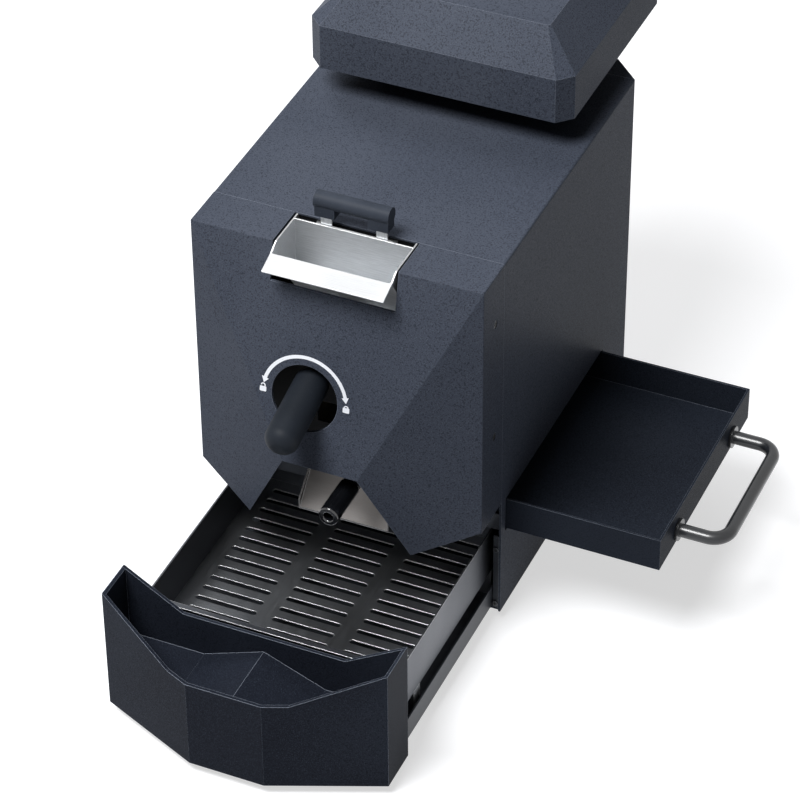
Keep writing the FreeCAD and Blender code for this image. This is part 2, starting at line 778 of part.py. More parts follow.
def make_feed():
    chute = Piece("feed_chute")
    for low, high in (("-chute_half - chute_wall", "-chute_half"), ("chute_half", "chute_half + chute_wall")):
        chute.grow("YZ", poly(
            ("-chute_crest_depth", "chute_crest_height"), ("-chute_crest_depth + 8", "chute_rim_height"),
            ("-run_gap", "chute_rim_height"), ("-run_gap", "case_height - case_wall - run_gap"),
            ("plate_front", "case_height - case_wall - run_gap"), ("plate_front", "chute_floor_end"),
            ("-chute_back", "chute_floor_end"),
        ), low, high)
        if low.startswith("-"):
            chute.grow("YZ", poly(
                ("-chute_lip_depth", "chute_lip_height"), ("-chute_crest_depth", "chute_crest_height"),
                ("-chute_back", "chute_floor_end"), ("-chute_back", "chute_floor_end - chute_wall"),
                ("-chute_crest_depth", "chute_crest_height - 1.6 * chute_wall"),
                ("-chute_lip_depth", "chute_lip_height - chute_wall"),
            ), "-chute_half - chute_wall", "chute_half + chute_wall")
    chute.grow("XZ", rect("-chute_half", "chute_half", "chute_floor_end - chute_wall", "chute_rim_height"),
               "-chute_back", "-chute_back + chute_wall")
    window = rect("-feed_half", "feed_half", "chute_floor_end", "chute_floor_end + feed_height")
    chute.cut("XZ", window, "-chute_back - 0.5", "-chute_back + chute_wall + 1")

    gate = Piece("feed_gate")
    gate.grow("XZ", rect("-gate_half", "gate_half", "gate_low", "gate_high"), "gate_front", "gate_back")
    for side in ("-", ""):
        gate.grow("XZ", rect(
            f"{side}gate_tab_offset - gate_tab_width / 2", f"{side}gate_tab_offset + gate_tab_width / 2",
            "gate_high - 2", "gate_bar_height - gate_bar_radius",
        ), "gate_front", "gate_back")

    middle = "(gate_front + gate_back) / 2"
    bar = Piece("gate_handle")
    bar.grow("YZ", ring(middle, "gate_bar_height", "gate_bar_radius"), "-gate_bar_half", "gate_bar_half")
    for side in ("-", ""):
        low, high = f"{side}gate_tab_offset - gate_tab_width", f"{side}gate_tab_offset + gate_tab_width"
        if side:
            low = "-gate_bar_half + 0.5"
        else:
            high = "gate_bar_half - 0.5"
        foot_low = "gate_bar_height - gate_bar_radius - gate_bar_foot"
        bar.grow("YZ", rect(
            f"{middle} - gate_bar_radius + 1", f"{middle} + gate_bar_radius - 1",
            foot_low, "gate_bar_height",
        ), low, high)
        bar.cut("XZ", rect(
            f"{side}gate_tab_offset - gate_tab_width / 2", f"{side}gate_tab_offset + gate_tab_width / 2",
            foot_low + " - 1", "gate_bar_height - gate_bar_radius",
        ), "gate_front", "gate_back")

    near = "gate_half + run_gap"
    guides = []
    for side in ("-1", "1"):
        guide = Piece("gate_guide")
        guide.grow("XY", poly(
            (f"{side} * ({near} - guide_lap)", "plate_front"),
            (f"{side} * ({near} + guide_wall)", "plate_front"),
            (f"{side} * ({near} + guide_wall)", "gate_front"),
            (f"{side} * ({near})", "gate_front"),
            (f"{side} * ({near})", "gate_back + run_gap"),
            (f"{side} * ({near} - guide_lap)", "gate_back + run_gap"),
        ), "gate_low", "case_height - 3")
        guides.append(loose(guide))
    group("gate_guides", guides)


# Drum chamber: front and rear plates, jacket, heat shield, heaters


def make_chamber():
    front = Piece("drum_front_plate")
    wall = rect("-case_inner_half", "case_inner_half", "plate_bottom", "case_height - case_wall")
    front.grow("XZ", wall, "plate_front", "plate_back")
    through = ("plate_front - 1", "plate_back + 1")
    front.cut("XZ", rect("-feed_half", "feed_half", "feed_bottom", "feed_top"), *through)
    front.cut("XZ", rect("lever_x - outlet_half", "lever_x + outlet_half", "outlet_bottom", "outlet_top"),
              *through)
    front.cut("XZ", ring("trier_x", "trier_height", "trier_radius + shaft_play"), *through)

    rear = Piece("drum_rear_plate")
    rear.grow("XZ", wall, "rear_plate", "rear_plate_back")
    through = ("rear_plate - 1", "rear_plate_back + 1")
    rear.cut("XZ", ring("0", "drum_height", "drum_shaft_radius + 0.5"), *through)
    rear.cut("XZ", ring("duct_x", "duct_height", "duct_radius - duct_wall"), *through)

    jacket = Piece("drum_jacket")
    span = ("plate_back", "rear_plate")
    jacket.grow("XZ", ring("0", "drum_height", "jacket_radius"), *span)
    jacket.grow("XZ", rect("-jacket_radius", "jacket_radius", "plate_bottom", "drum_height"), *span)
    inner = "jacket_radius - jacket_wall"
    longer = ("plate_back - 1", "rear_plate + 1")
    jacket.cut("XZ", ring("0", "drum_height", inner), *longer)
    jacket.cut("XZ", rect(f"-({inner})", inner, "plate_bottom - 1", "drum_height"), *longer)

    shield = Piece("heat_shield")
    shield.grow("XY", rect(f"-({inner})", inner, "plate_back", "drum_end"),
                "plate_bottom", "plate_bottom + jacket_wall")

    group("heating_elements", [
        cylinder("Y", (x, "plate_back", "heater_height"), "heater_radius", "rear_plate - plate_back")
        for x in ("-heater_offset", "heater_offset")
    ])


def make_drum():
    axis = ("0", "0", "drum_height")
    drum = Piece("roasting_drum", axis)
    inner = "drum_radius - drum_wall"
    drum.grow("XZ", ring("0", "0", "drum_radius"), "drum_start", "drum_end")
    drum.cut("XZ", ring("0", "0", inner), "drum_start - 1", "drum_end - drum_wall")
    drum.grow("XZ", ring("0", "0", f"{inner} + 0.5") + ring("0", "0", f"{inner} - drum_lip"),
              "drum_start", "drum_start + drum_wall")
    drum.grow("XZ", ring("0", "0", "hub_radius"), "drum_end - hub_length", "drum_end - 0.5")
    drum.cut("XZ", ring("0", "0", "drum_shaft_radius"), "drum_end - hub_length - 1", "drum_end + 1")
    window = drum.cut("XZ", rect("hub_radius + window_start", f"{inner} - window_rim", "-window_span", "window_span"),
                      "drum_end - drum_wall - 1", "drum_end + 1")
    drum.wheel([window], "Y", "drum_windows")
    spoke = drum.grow("XZ", rect("hub_radius - 1", f"{inner} + 0.5", "-spoke_width / 2", "spoke_width / 2"),
                      "spider_start", "spider_start + drum_wall")
    drum.wheel([spoke], "Y", "drum_vanes")
    spider = ("spider_start", "spider_start + drum_wall")
    drum.grow("XZ", ring("0", "0", "hub_radius") + ring("0", "0", "drum_shaft_radius"), *spider)

    def blade(turn):
        """A vane's upright section, turned about the drum's axis."""
        corners = []
        for out, across in ((f"{inner} - vane_height", "-vane_wall / 2"), (f"{inner} + 0.5", "-vane_wall / 2"),
                            (f"{inner} + 0.5", "vane_wall / 2"), (f"{inner} - vane_height", "vane_wall / 2")):
            corners.append((f"({out}) * cos({turn}) - ({across}) * sin({turn})",
                            f"({out}) * sin({turn}) + ({across}) * cos({turn})"))
        return poly(*corners)

    vane = drum.loft("XZ", blade("60"), "spider_start + vane_gap", blade("60 + vane_twist"), "drum_end - vane_gap")
    drum.wheel([vane], "Y", "drum_vanes")

    shaft = Piece("drum_shaft", axis)
    shaft.grow("XZ", ring("0", "0", "drum_shaft_radius"), "plate_back + run_gap", "gear_start + gear_width + 2")

    bearings = []
    for start in ("plate_back", "rear_plate - bearing_width"):
        bearing = Piece("bearing")
        hole = ring("0", "drum_height", "drum_shaft_radius + shaft_play")
        bearing.grow("XZ", ring("0", "drum_height", "bearing_radius") + hole, start, f"{start} + bearing_width")
        bearings.append(loose(bearing))
    group("drum_bearings", bearings)


# Drive: gear on the drum's shaft, pinion and gear motor


def toothed_wheel(label, at, teeth, pitch_radius):
    """A spur wheel cut by repeating one straight-sided tooth gap, the first at its lowest point."""
    wheel = Piece(label, at)
    wheel.grow("XZ", ring("0", "0", f"{pitch_radius} + gear_module"), "gear_start", "gear_start + gear_width")
    half = "gear_module * 180 / 57.29578 / 4 + gear_play / 2"
    flank = "tan(20)"
    root = "1.25 * gear_module"
    out = "gear_module + 0.5"
    gap = wheel.cut("XZ", poly(
        (f"-({half} - {root} * {flank})", f"-({pitch_radius} - {root})"),
        (f"{half} - {root} * {flank}", f"-({pitch_radius} - {root})"),
        (f"{half} + ({out}) * {flank}", f"-({pitch_radius} + {out})"),
        (f"-({half} + ({out}) * {flank})", f"-({pitch_radius} + {out})"),
    ), "gear_start - 1", "gear_start + gear_width + 1")
    wheel.wheel([gap], "Y", teeth)
    return wheel


def make_drive():
    gear = toothed_wheel("drum_gear", ("0", "0", "drum_height"), "gear_teeth", "gear_pitch_radius")
    through = ("gear_start - 1", "gear_start + gear_width + 1")
    gear.cut("XZ", ring("0", "0", "drum_shaft_radius"), *through)
    hole = gear.cut("XZ", ring("0", "gear_pitch_radius * 0.6", "gear_hole_radius"), *through)
    gear.wheel([hole], "Y", "gear_holes")

    pinion = toothed_wheel("drive_pinion", ("0", "0", "motor_height"), "pinion_teeth", "pinion_pitch_radius")
    pinion.grow("XZ", ring("0", "0", "motor_shaft_radius"), "gear_start + gear_width - 1",
                "motor_start + motor_plate + motor_shaft_grip")
    pinion.body.Placement = FreeCAD.Placement(
        FreeCAD.Vector(), FreeCAD.Rotation(FreeCAD.Vector(0, 1, 0), 10))
    tie(pinion.body, "Placement.Rotation.Angle", "180 / pinion_teeth + 180")

    plate = Piece("motor_plate")
    plate.grow("XZ", rect("-motor_plate_half", "motor_plate_half",
                          "motor_height - motor_plate_half", "motor_height + motor_plate_top"),
               "motor_start", "motor_start + motor_plate")
    hole = ring("0", "motor_height", "motor_shaft_radius + 0.5")
    plate.cut("XZ", hole, "motor_start - 1", "motor_start + motor_plate + 1")
    posts = []
    for x in ("-motor_post_x", "motor_post_x"):
        for z in ("motor_height - motor_post_low", "motor_height + motor_post_high"):
            posts.append(cylinder("Y", (x, "rear_plate_back", z), "post_radius", "motor_start - rear_plate_back"))
    group("motor_posts", posts)

    motor = Piece("drive_motor")
    back = "motor_start + motor_plate"
    motor.grow("XZ", ring("0", "motor_height", "motor_radius"), back, f"{back} + motor_length")
    motor.cut("XZ", ring("0", "motor_height", "motor_shaft_radius + shaft_play"),
              f"{back} - 1", f"{back} + motor_shaft_grip + 1")


# Lever, rotary shutter and the spout under the outlet


def make_lever():
    axis = ("lever_x", "0", "lever_height")
    shutter = Piece("discharge_shutter", axis)
    span = ("shutter_front", "shutter_front + shutter_plate")
    shutter.grow("XZ", ring("0", "0", "shutter_reach"), *span)
    # The pad points to +X with the shutter open; everything outside its sector is cut away.
    reach = "shutter_reach + 5"
    shutter.cut("XZ", poly(
        ("0", "0"), (f"({reach}) * cos(shutter_half)", f"({reach}) * sin(shutter_half)"),
        (reach, reach), (f"-({reach})", reach), (f"-({reach})", f"-({reach})"), (reach, f"-({reach})"),
        (f"({reach}) * cos(shutter_half)", f"-({reach}) * sin(shutter_half)"),
    ), *span)
    # Two windows leave an arm between the hub and the pad.
    for side in ("1", "-1"):
        shutter.cut("XZ", poly(
            ("8", f"{side} * arm_width / 2"), ("shutter_inner", f"{side} * arm_width / 2"),
            ("shutter_inner", f"{side} * (shutter_inner + 5) * tan(shutter_half)"),
            ("8", f"{side} * (shutter_inner + 5) * tan(shutter_half)"),
        ), *span)
    shutter.grow("XZ", ring("0", "0", "shutter_hub_radius"), "shutter_front - 3", "shutter_front + shutter_plate")
    shutter.cut("XZ", ring("0", "0", "lever_shaft_radius"), "shutter_front - 4", "plate_front + 1")

    shaft = Piece("lever_shaft", axis)
    shaft.grow("XZ", ring("0", "0", "lever_shaft_radius"), "-(grip_start + grip_bore)",
               "shutter_front + shutter_plate")

    bracket = Piece("lever_bracket", axis)
    front = "-bracket_depth"
    wall = "case_wall"
    bracket.grow("YZ", poly(
        (front, "-bracket_half"), (front, "bracket_top + case_wall"), ("plate_front", "bracket_top + case_wall"),
        ("plate_front", "bracket_top"), (f"{front} + {wall}", "bracket_top"), (f"{front} + {wall}", "-bracket_half"),
    ), "-bracket_half", "bracket_half")
    bracket.cut("XZ", ring("0", "0", "lever_shaft_radius + shaft_play"), f"{front} - 1", f"{front} + {wall} + 1")

    solid = Piece("grip_solid")
    solid.grow("XZ", ring("0", "0", "grip_radius"), "-grip_length", "0")
    solid.round_edges("grip_end_radius", lambda edge: edge.Curve.TypeId == "Part::GeomCircle")
    body = loose(solid)
    body.Placement = FreeCAD.Placement(FreeCAD.Vector(), FreeCAD.Rotation(FreeCAD.Vector(1, 0, 0), 10))
    tie(body, "Placement.Rotation.Angle", "lever_tilt")
    for part, text in zip("xyz", ("lever_x", "-grip_start", "lever_height + grip_rise")):
        tie(body, f"Placement.Base.{part}", text)
    bore = cylinder("Y", ("lever_x", "-(grip_start + grip_bore)", "lever_height"), "lever_shaft_radius",
                    "grip_start + grip_bore")
    subtract("lever_grip", body, bore)


def make_discharge():
    spout = Piece("discharge_spout")
    top = "outlet_bottom - spout_drop"
    spout.grow("YZ", poly(
        ("plate_front", top), ("plate_front", f"{top} - 1.4 * chute_wall"),
        ("-spout_depth", "spout_low"), ("-spout_depth", "spout_low + 1.4 * chute_wall"),
    ), "-spout_half", "spout_half")
    for low, high in (("-spout_half", "-spout_half + chute_wall"), ("spout_half - chute_wall", "spout_half")):
        spout.grow("YZ", poly(
            ("plate_front", top), ("plate_front", f"{top} - 1.4 * chute_wall"),
            ("-spout_depth", "spout_low"), ("-spout_depth", "spout_low + spout_side"),
        ), low, high)

    axis = ("trier_x", "0", "trier_height")
    tube = Piece("trier_tube", axis)
    tube.grow("XZ", ring("0", "0", "trier_radius"), "-trier_front + trier_grip", "trier_inside")
    tube.cut("XZ", ring("0", "0", "trier_radius - 0.9"), "plate_back + 4", "trier_inside - 2")
    tube.cut("XZ", rect("-trier_radius", "trier_radius", "1.5", "trier_radius + 1"),
             "plate_back + 4", "trier_inside - 2")
    handle = Piece("trier_handle", axis)
    handle.grow("XZ", ring("0", "0", "trier_radius + 0.8"), "-trier_front", "-trier_front + trier_grip")
    handle.cut("XZ", ring("0", "0", "trier_bore"), "-trier_front - 1", "-trier_front + 14")
    handle.round_edges("1.2", lambda edge: edge.Curve.TypeId == "Part::GeomCircle"
                       and edge.CenterOfMass.y < 0.1 - number("trier_front"))


# Cooling drawer: faceted front with a hand pocket, tray, slotted screen and lower pan


def front_outline(inset):
    """The drawer front in plan, the same facets as the front cover."""
    side = f"cool_front_half - {inset}"
    bend = f"cool_side + {inset} * (facet_length - facet_run) / facet_span"
    nose = f"cool_nose + {inset}"
    nose_half = f"cover_nose_half - {inset} * (facet_length - facet_span) / facet_run"
    back = f"cool_back - {inset}"
    return poly(
        (f"-({side})", back), (f"-({side})", bend), (f"-({nose_half})", nose),
        (nose_half, nose), (side, bend), (side, back),
    )


def make_cooling_drawer():
    outer = Piece("front_outer")
    outer.grow("XY", front_outline("0"), "0", "cool_rim_high")
    low_edge = [(f"{side}cool_rim_half", "cool_rim_low") for side in ("-", "")]
    end = "cool_front_half"
    outer.cut("XZ", poly(
        (f"-{end}", "cool_rim_high"), *low_edge, (end, "cool_rim_high"),
        (f"{end} + 1", "cool_rim_high + 1"), (f"-{end} - 1", "cool_rim_high + 1"),
    ), "cool_nose - 1", "cool_back - cool_wall")
    outer.cut("XZ", poly(
        (f"-{end}", "cool_rim_high"), ("-cool_back_half", "cool_back_low"), ("cool_back_half", "cool_back_low"),
        (end, "cool_rim_high"), (f"{end} + 1", "cool_rim_high + 1"), (f"-{end} - 1", "cool_rim_high + 1"),
    ), "cool_back - cool_wall - 0.1", "cool_back + 1")
    hollows = []
    for label, thick in (("pocket", "0"), ("underside", "cool_wall")):
        room = Piece(label)
        room.grow("XY", front_outline("cool_wall"), "-1", "cool_rim_high + 1")
        room.cut("XZ", poly(
            ("0", f"cool_floor_ridge - {thick}"), ("cool_floor_half", f"cool_floor_low - {thick}"),
            (f"{end} + 1", f"cool_floor_low - {thick}"),
            (f"{end} + 1", "-3" if thick == "0" else "cool_rim_high + 3"),
            (f"-{end} - 1", "-3" if thick == "0" else "cool_rim_high + 3"),
            (f"-{end} - 1", f"cool_floor_low - {thick}"), ("-cool_floor_half", f"cool_floor_low - {thick}"),
        ), "cool_nose - 2", "cool_back + 2")
        hollows.append(loose(room))
    both = doc.addObject("Part::MultiFuse", "front_hollows")
    both.Shapes = hollows
    subtract("drawer_front", loose(outer), both)

    tray = Piece("cooling_tray")
    tray.grow("XY", rect("-tray_half", "tray_half", "tray_front", "tray_back"), "tray_floor", "tray_rim")
    ends = ("tray_front + tray_wall", "tray_back - tray_wall")
    tray.cut("XY", rect("-tray_half + tray_wall", "tray_half - tray_wall", *ends),
             "tray_floor + tray_wall", "tray_rim + 1")
    ledge = ("tray_front + tray_wall + tray_ledge", "tray_back - tray_wall - tray_ledge")
    tray.cut("XY", rect("-tray_half + tray_wall + tray_ledge", "tray_half - tray_wall - tray_ledge", *ledge),
             "tray_floor - 1", "tray_floor + tray_wall + 1")
    tray.grow("XY", rect("-tray_half", "tray_half", "tray_front - tray_flange", "tray_front + 0.5"),
              "tray_rim - tray_wall", "tray_rim")

    screen = Piece("cooling_screen")
    low = "tray_floor + tray_wall"
    edge = "tray_half - tray_wall"
    screen.grow("XY", rect(f"-({edge})", edge, *ends), low, f"{low} + screen_wall")
    first = "tray_front + tray_wall + screen_margin"
    cuts = []
    for middle in ("-1", "0", "1"):
        middle = f"{middle} * (screen_slot_length + screen_margin)"
        reach = "(screen_slot_length - screen_slot) / 2"
        cuts += slot(f"{middle} - {reach}", f"{middle} + {reach}", first, "screen_slot / 2")
    holes = screen.cut("XY", cuts, f"{low} - 1", f"{low} + screen_wall + 1")
    screen.row([holes], "Y", "(tray_length - 2 * (tray_wall + screen_margin)) / (screen_rows - 1)",
               "screen_rows")

    pan = Piece("drawer_pan")
    pan.grow("XY", rect("-pan_half", "pan_half", "cool_back", "tray_back"), "pan_bottom", "pan_bottom + pan_height")
    pan.cut("XY", rect("-pan_half + tray_wall", "pan_half - tray_wall", "cool_back + tray_wall", "tray_back + 1"),
            "pan_bottom + tray_wall", "pan_bottom + pan_height + 1")
    floor = "pan_bottom + tray_wall"
    blocks = []
    for x in ("-tray_half", "tray_half - support_size"):
        for y in ("tray_front + 20", "tray_back - 20 - support_size"):
            blocks.append(box(x, f"{x} + support_size", y, f"{y} + support_size", floor, "tray_floor"))
    group("tray_supports", blocks)

    rails = []
    for side in ("-1", "1"):
        rail = Piece("rail")
        inner = f"{side} * (pan_half + run_gap)"
        outer_x = f"{side} * case_inner_half"
        rail.grow("XY", poly((inner, "post_depth + 1"), (outer_x, "post_depth + 1"),
                             (outer_x, "tray_back + cool_travel"), (inner, "tray_back + cool_travel")),
                  "pan_bottom", "pan_bottom + rail_height")
        rails.append(loose(rail))
    group("drawer_rails", rails)


# Chaff drawer: pan, bent rod handle and the runners that carry it


def make_chaff_drawer():
    pan = Piece("chaff_drawer")
    pan.grow("XY", rect("chaff_inner_x", "chaff_face", "chaff_near", "chaff_far"), "chaff_bottom", "chaff_top")
    pan.cut("XY", rect("chaff_inner_x + chaff_wall", "chaff_face - chaff_wall",
                       "chaff_near + chaff_wall", "chaff_far - chaff_wall"),
            "chaff_bottom + chaff_wall", "chaff_top + 1")

    middle = "(chaff_near + chaff_far) / 2"
    bar_x = "chaff_face + handle_reach"
    leg = "handle_reach - handle_bend"
    rod = "handle_rod_radius"
    rods = [cylinder("Y", (bar_x, f"{middle} - handle_half + handle_bend", "handle_height"), rod,
                     "2 * (handle_half - handle_bend)")]
    for side, start in (("-", 270), ("+", 0)):
        y = f"{middle} {side} handle_half"
        rods.append(cylinder("X", ("chaff_face", y, "handle_height"), rod, leg))
        bend = doc.addObject("Part::Torus", "bend")
        tie(bend, "Radius1", "handle_bend")
        tie(bend, "Radius2", rod)
        bend.Angle3 = 90
        bend.Placement = FreeCAD.Placement(FreeCAD.Vector(), FreeCAD.Rotation(FreeCAD.Vector(0, 0, 1), start))
        inward = "+" if side == "-" else "-"
        for part, text in zip("xyz", (f"{bar_x} - handle_bend", f"{y} {inward} handle_bend", "handle_height")):
            tie(bend, f"Placement.Base.{part}", text)
        rods.append(bend)
        rods.append(cylinder("X", ("chaff_face", y, "handle_height"), "plate_foot_radius", "2"))
    fuse("chaff_handle", rods)

    runners = []
    for edge, away in (("chaff_near", "-1"), ("chaff_far", "1")):
        runner = Piece("runner")
        web = f"{edge} + {away} * run_gap"
        outer = f"{web} + {away} * runner_wall"
        lap = f"{edge} - {away} * runner_flange"
        runner.grow("YZ", poly(
            (lap, "runner_low"), (outer, "runner_low"), (outer, "runner_low + runner_height"),
            (web, "runner_low + runner_height"), (web, "runner_low + runner_wall"),
            (lap, "runner_low + runner_wall"),
        ), "-case_inner_half", "case_inner_half")
        runners.append(loose(runner))
    group("chaff_runners", runners)


# Head: faceted shell on a neck, with its window, knobs, button and board


def head_outline(inset):
    half = f"head_half - ({inset})"
    front = f"head_front + {inset}"
    back = f"head_back - ({inset})"
    cut = f"(head_chamfer - ({inset}) * chamfer_fade)"
    return poly(
        (f"-({half}) + {cut}", front), (f"{half} - {cut}", front), (half, f"{front} + {cut}"),
        (half, f"{back} - {cut}"), (f"{half} - {cut}", back), (f"-({half}) + {cut}", back),
        (f"-({half})", f"{back} - {cut}"), (f"-({half})", f"{front} + {cut}"),
    )


KNOBS = ("power_knob", "airflow_knob", "cooling_knob", "drum_knob")


def knob_x(place_in_row):
    return f"({place_in_row} - {(len(KNOBS) - 1) / 2}) * knob_pitch"


def make_head():
    shell = Piece("head_shell")
    shell.grow("XY", head_outline("0"), "head_bottom", "head_shoulder")
    shell.loft("XY", head_outline("0"), "head_shoulder", head_outline("head_inset"), "head_top")
    inner = "head_wall"
    shell.cut("XY", head_outline(inner), "head_bottom - 1", "head_shoulder")
    shell.loft("XY", head_outline(inner), "head_shoulder",
               head_outline(f"head_inset + {inner}"), "head_top - head_wall", subtract=True)
    through = ("head_top - head_wall - 1", "head_top + 1")
    for place_in_row in range(len(KNOBS)):
        shell.cut("XY", ring(knob_x(place_in_row), "knob_row", "knob_shaft_radius + run_gap"), *through)
    shell.cut("XY", rect("window_x - window_half", "window_x + window_half",
                         "window_front", "window_front + window_depth"), *through)
    shell.cut("XY", ring("power_x", "power_row", "power_radius + run_gap"), *through)

    plate = Piece("head_base")
    plate.grow("XY", head_outline(inner), "head_bottom", "head_bottom + head_wall")

    neck = Piece("head_neck")
    span = ("case_height", "head_bottom")
    back = "case_depth - 1"
    neck.grow("XY", rect("-neck_half", "neck_half", "neck_start", back), *span)
    neck.cut("XY", rect("-neck_half + neck_wall", "neck_half - neck_wall", "neck_start + neck_wall",
                        f"{back} - neck_wall"), "case_height - 1", "head_bottom + 1")

    window = Piece("display_window")
    window.grow("XY", rect("window_x - window_half", "window_x + window_half",
                           "window_front", "window_front + window_depth"), "head_top - window_wall", "head_top")

    board_top = "head_top - head_wall - board_drop"
    board = Piece("control_board")
    board.grow("XY", rect("-board_half", "board_half", "window_front - 4", "knob_row + 12"),
               f"{board_top} - board_thickness", board_top)
    encoders = []
    for place_in_row, label in enumerate(KNOBS):
        x = knob_x(place_in_row)
        knob = Piece(label, (x, "knob_row", "head_top"))
        knob.grow("XY", ring("0", "0", "knob_radius"), "knob_gap", "knob_gap + knob_height")
        knob.round_edges("1.5", lambda edge: edge.Curve.TypeId == "Part::GeomCircle"
                         and edge.CenterOfMass.z > number("knob_gap + 1"))
        knob.cut("XY", rect("-0.9", "0.9", "knob_radius * 0.25", "knob_radius + 1"),
                 "knob_gap + knob_height - 1", "knob_gap + knob_height + 1")
        knob.grow("XY", ring("0", "0", "knob_shaft_radius"), "-head_wall - 6", "knob_gap + 1")
        encoder = Piece("encoder")
        encoder.grow("XY", rect(f"{x} - 6", f"{x} + 6", "knob_row - 6", "knob_row + 6"),
                     board_top, "head_top - head_wall")
        encoder.cut("XY", ring(x, "knob_row", "knob_shaft_radius + shaft_play"),
                    "head_top - head_wall - 6.5", "head_top")
        encoders.append(loose(encoder))
    push = Piece("push_switch")
    push.grow("XY", rect("power_x - 6", "power_x + 6", "power_row - 6", "power_row + 6"),
              board_top, "head_top - head_wall - 2 - power_travel")
    encoders.append(loose(push))
    group("panel_switches", encoders)

    button = Piece("power_button", ("power_x", "power_row", "head_top"))
    button.grow("XY", ring("0", "0", "power_radius"), "-head_wall - 1", "power_height - head_wall")
    button.grow("XY", ring("0", "0", "power_radius + 1.5"), "-head_wall - 2", "-head_wall - run_gap")


# Fans, smoke outlet and mains fittings


def make_fan(label, x, z, start, depth, radius, frame_outline):
    """An axial fan: frame with a cross bar and motor boss, and an impeller on its own stub shaft."""
    axis = (x, start, z)
    frame = Piece(f"{label}_frame", axis)
    frame.grow("XZ", frame_outline, "0", depth)
    frame.cut("XZ", ring("0", "0", radius), "-1", f"{depth} + 1")
    frame.grow("XZ", rect(f"-({radius}) - 0.5", f"{radius} + 0.5", "-3", "3"), f"{depth} - 3", depth)
    frame.grow("XZ", ring("0", "0", "fan_hub_radius"), f"{depth} - 6", depth)
    frame.cut("XZ", ring("0", "0", "2 + shaft_play"), f"{depth} - 7", f"{depth} - 1")
    wheel = Piece(f"{label}_impeller", axis)
    hub_end = f"({depth} - 6 - run_gap)"
    hub_start = f"({hub_end} - fan_hub_length)"
    wheel.grow("XZ", ring("0", "0", "fan_hub_radius"), hub_start, hub_end)
    wheel.grow("XZ", ring("0", "0", "2"), f"{depth} - 8", f"{depth} - 2")
    swing = "(fan_hub_length - 2) * tan(fan_blade_pitch) / 2"
    blade = wheel.grow("XY", poly(
        (f"-({swing})", f"{hub_start} + 1"), (f"-({swing}) + fan_blade_wall", f"{hub_start} + 1"),
        (f"{swing} + fan_blade_wall", f"{hub_end} - 1"), (swing, f"{hub_end} - 1"),
    ), "fan_hub_radius - 3", f"{radius} - 2")
    wheel.wheel([blade], "Y", "fan_blades")


def make_rear_fittings():
    make_fan("cooling_fan", "0", "case_wall + cool_fan_height", "rear_inner - cool_fan_depth",
             "cool_fan_depth", "cool_fan_half - 2",
             rect("-cool_fan_half", "cool_fan_half", "-cool_fan_half", "cool_fan_half"))
    make_fan("exhaust_fan", "duct_x", "duct_height", "rear_plate_back", "rear_inner - rear_plate_back",
             "duct_radius - duct_wall", ring("0", "0", "duct_radius"))

    outer = "case_depth + rear_depth"
    spigot = Piece("exhaust_spigot", ("duct_x", outer, "duct_height"))
    bore = ring("0", "0", "duct_radius - duct_wall")
    spigot.grow("XZ", ring("0", "0", "duct_radius + 6") + bore, "0", "2")
    spigot.grow("XZ", ring("0", "0", "duct_radius") + bore, "1", "spigot_length")

    inlet = Piece("mains_inlet", ("inlet_x", outer, "inlet_height"))
    inlet.grow("XZ", rect("-inlet_half_width", "inlet_half_width", "-inlet_half_height", "inlet_half_height"),
               "-18", "1")
    inlet.grow("XZ", rect("-inlet_half_width - 3", "inlet_half_width + 3",
                          "-inlet_half_height - 3", "inlet_half_height + 3"), "0", "2.5")
    inlet.cut("XZ", rect("-inlet_half_width + 2", "inlet_half_width - 2",
                         "-inlet_half_height + 2", "inlet_half_height - 2"), "-13", "3")
    for x, z in (("-7", "-2"), ("0", "2"), ("7", "-2")):
        inlet.grow("XZ", rect(f"{x} - 1", f"{x} + 1", f"{z} - 2", f"{z} + 2"), "-14", "-2")

    frame = Piece("switch_frame", ("inlet_x", outer, "switch_height"))
    frame.grow("XZ", rect("-switch_half_width", "switch_half_width", "-switch_half_height", "switch_half_height"),
               "-16", "1")
    frame.grow("XZ", rect("-switch_half_width - 2", "switch_half_width + 2",
                          "-switch_half_height - 2", "switch_half_height + 2"), "0", "2")
    frame.cut("XZ", rect("-switch_half_width + 1.5", "switch_half_width - 1.5",
                         "-switch_half_height + 1.5", "switch_half_height - 1.5"), "-12", "3")
    pin = ("inlet_x", f"{outer} - rocker_depth", "switch_height")
    frame.cut("YZ", ring("-rocker_depth", "0", "1 + shaft_play"), "-switch_half_width - 1", "switch_half_width + 1")
    rocker = Piece("mains_rocker", pin)
    tall = "(switch_half_height - 2.5)"
    face = "(rocker_depth + 2.5)"
    rocker.grow("YZ", poly(
        ("-4", "-2"), ("1.5", f"-{tall}"), (face, f"-{tall}"), (f"{face} - {tall} * tan(switch_tilt)", "0"),
        (face, tall), ("1.5", tall), ("-4", "2"),
    ), "-(switch_half_width - 2)", "switch_half_width - 2")
    rocker.grow("YZ", ring("0", "0", "1"), "-(switch_half_width - 0.7)", "switch_half_width - 0.7")
    rocker.body.Placement = FreeCAD.Placement(
        FreeCAD.Vector(), FreeCAD.Rotation(FreeCAD.Vector(1, 0, 0), 10))
    tie(rocker.body, "Placement.Rotation.Angle", "switch_tilt")


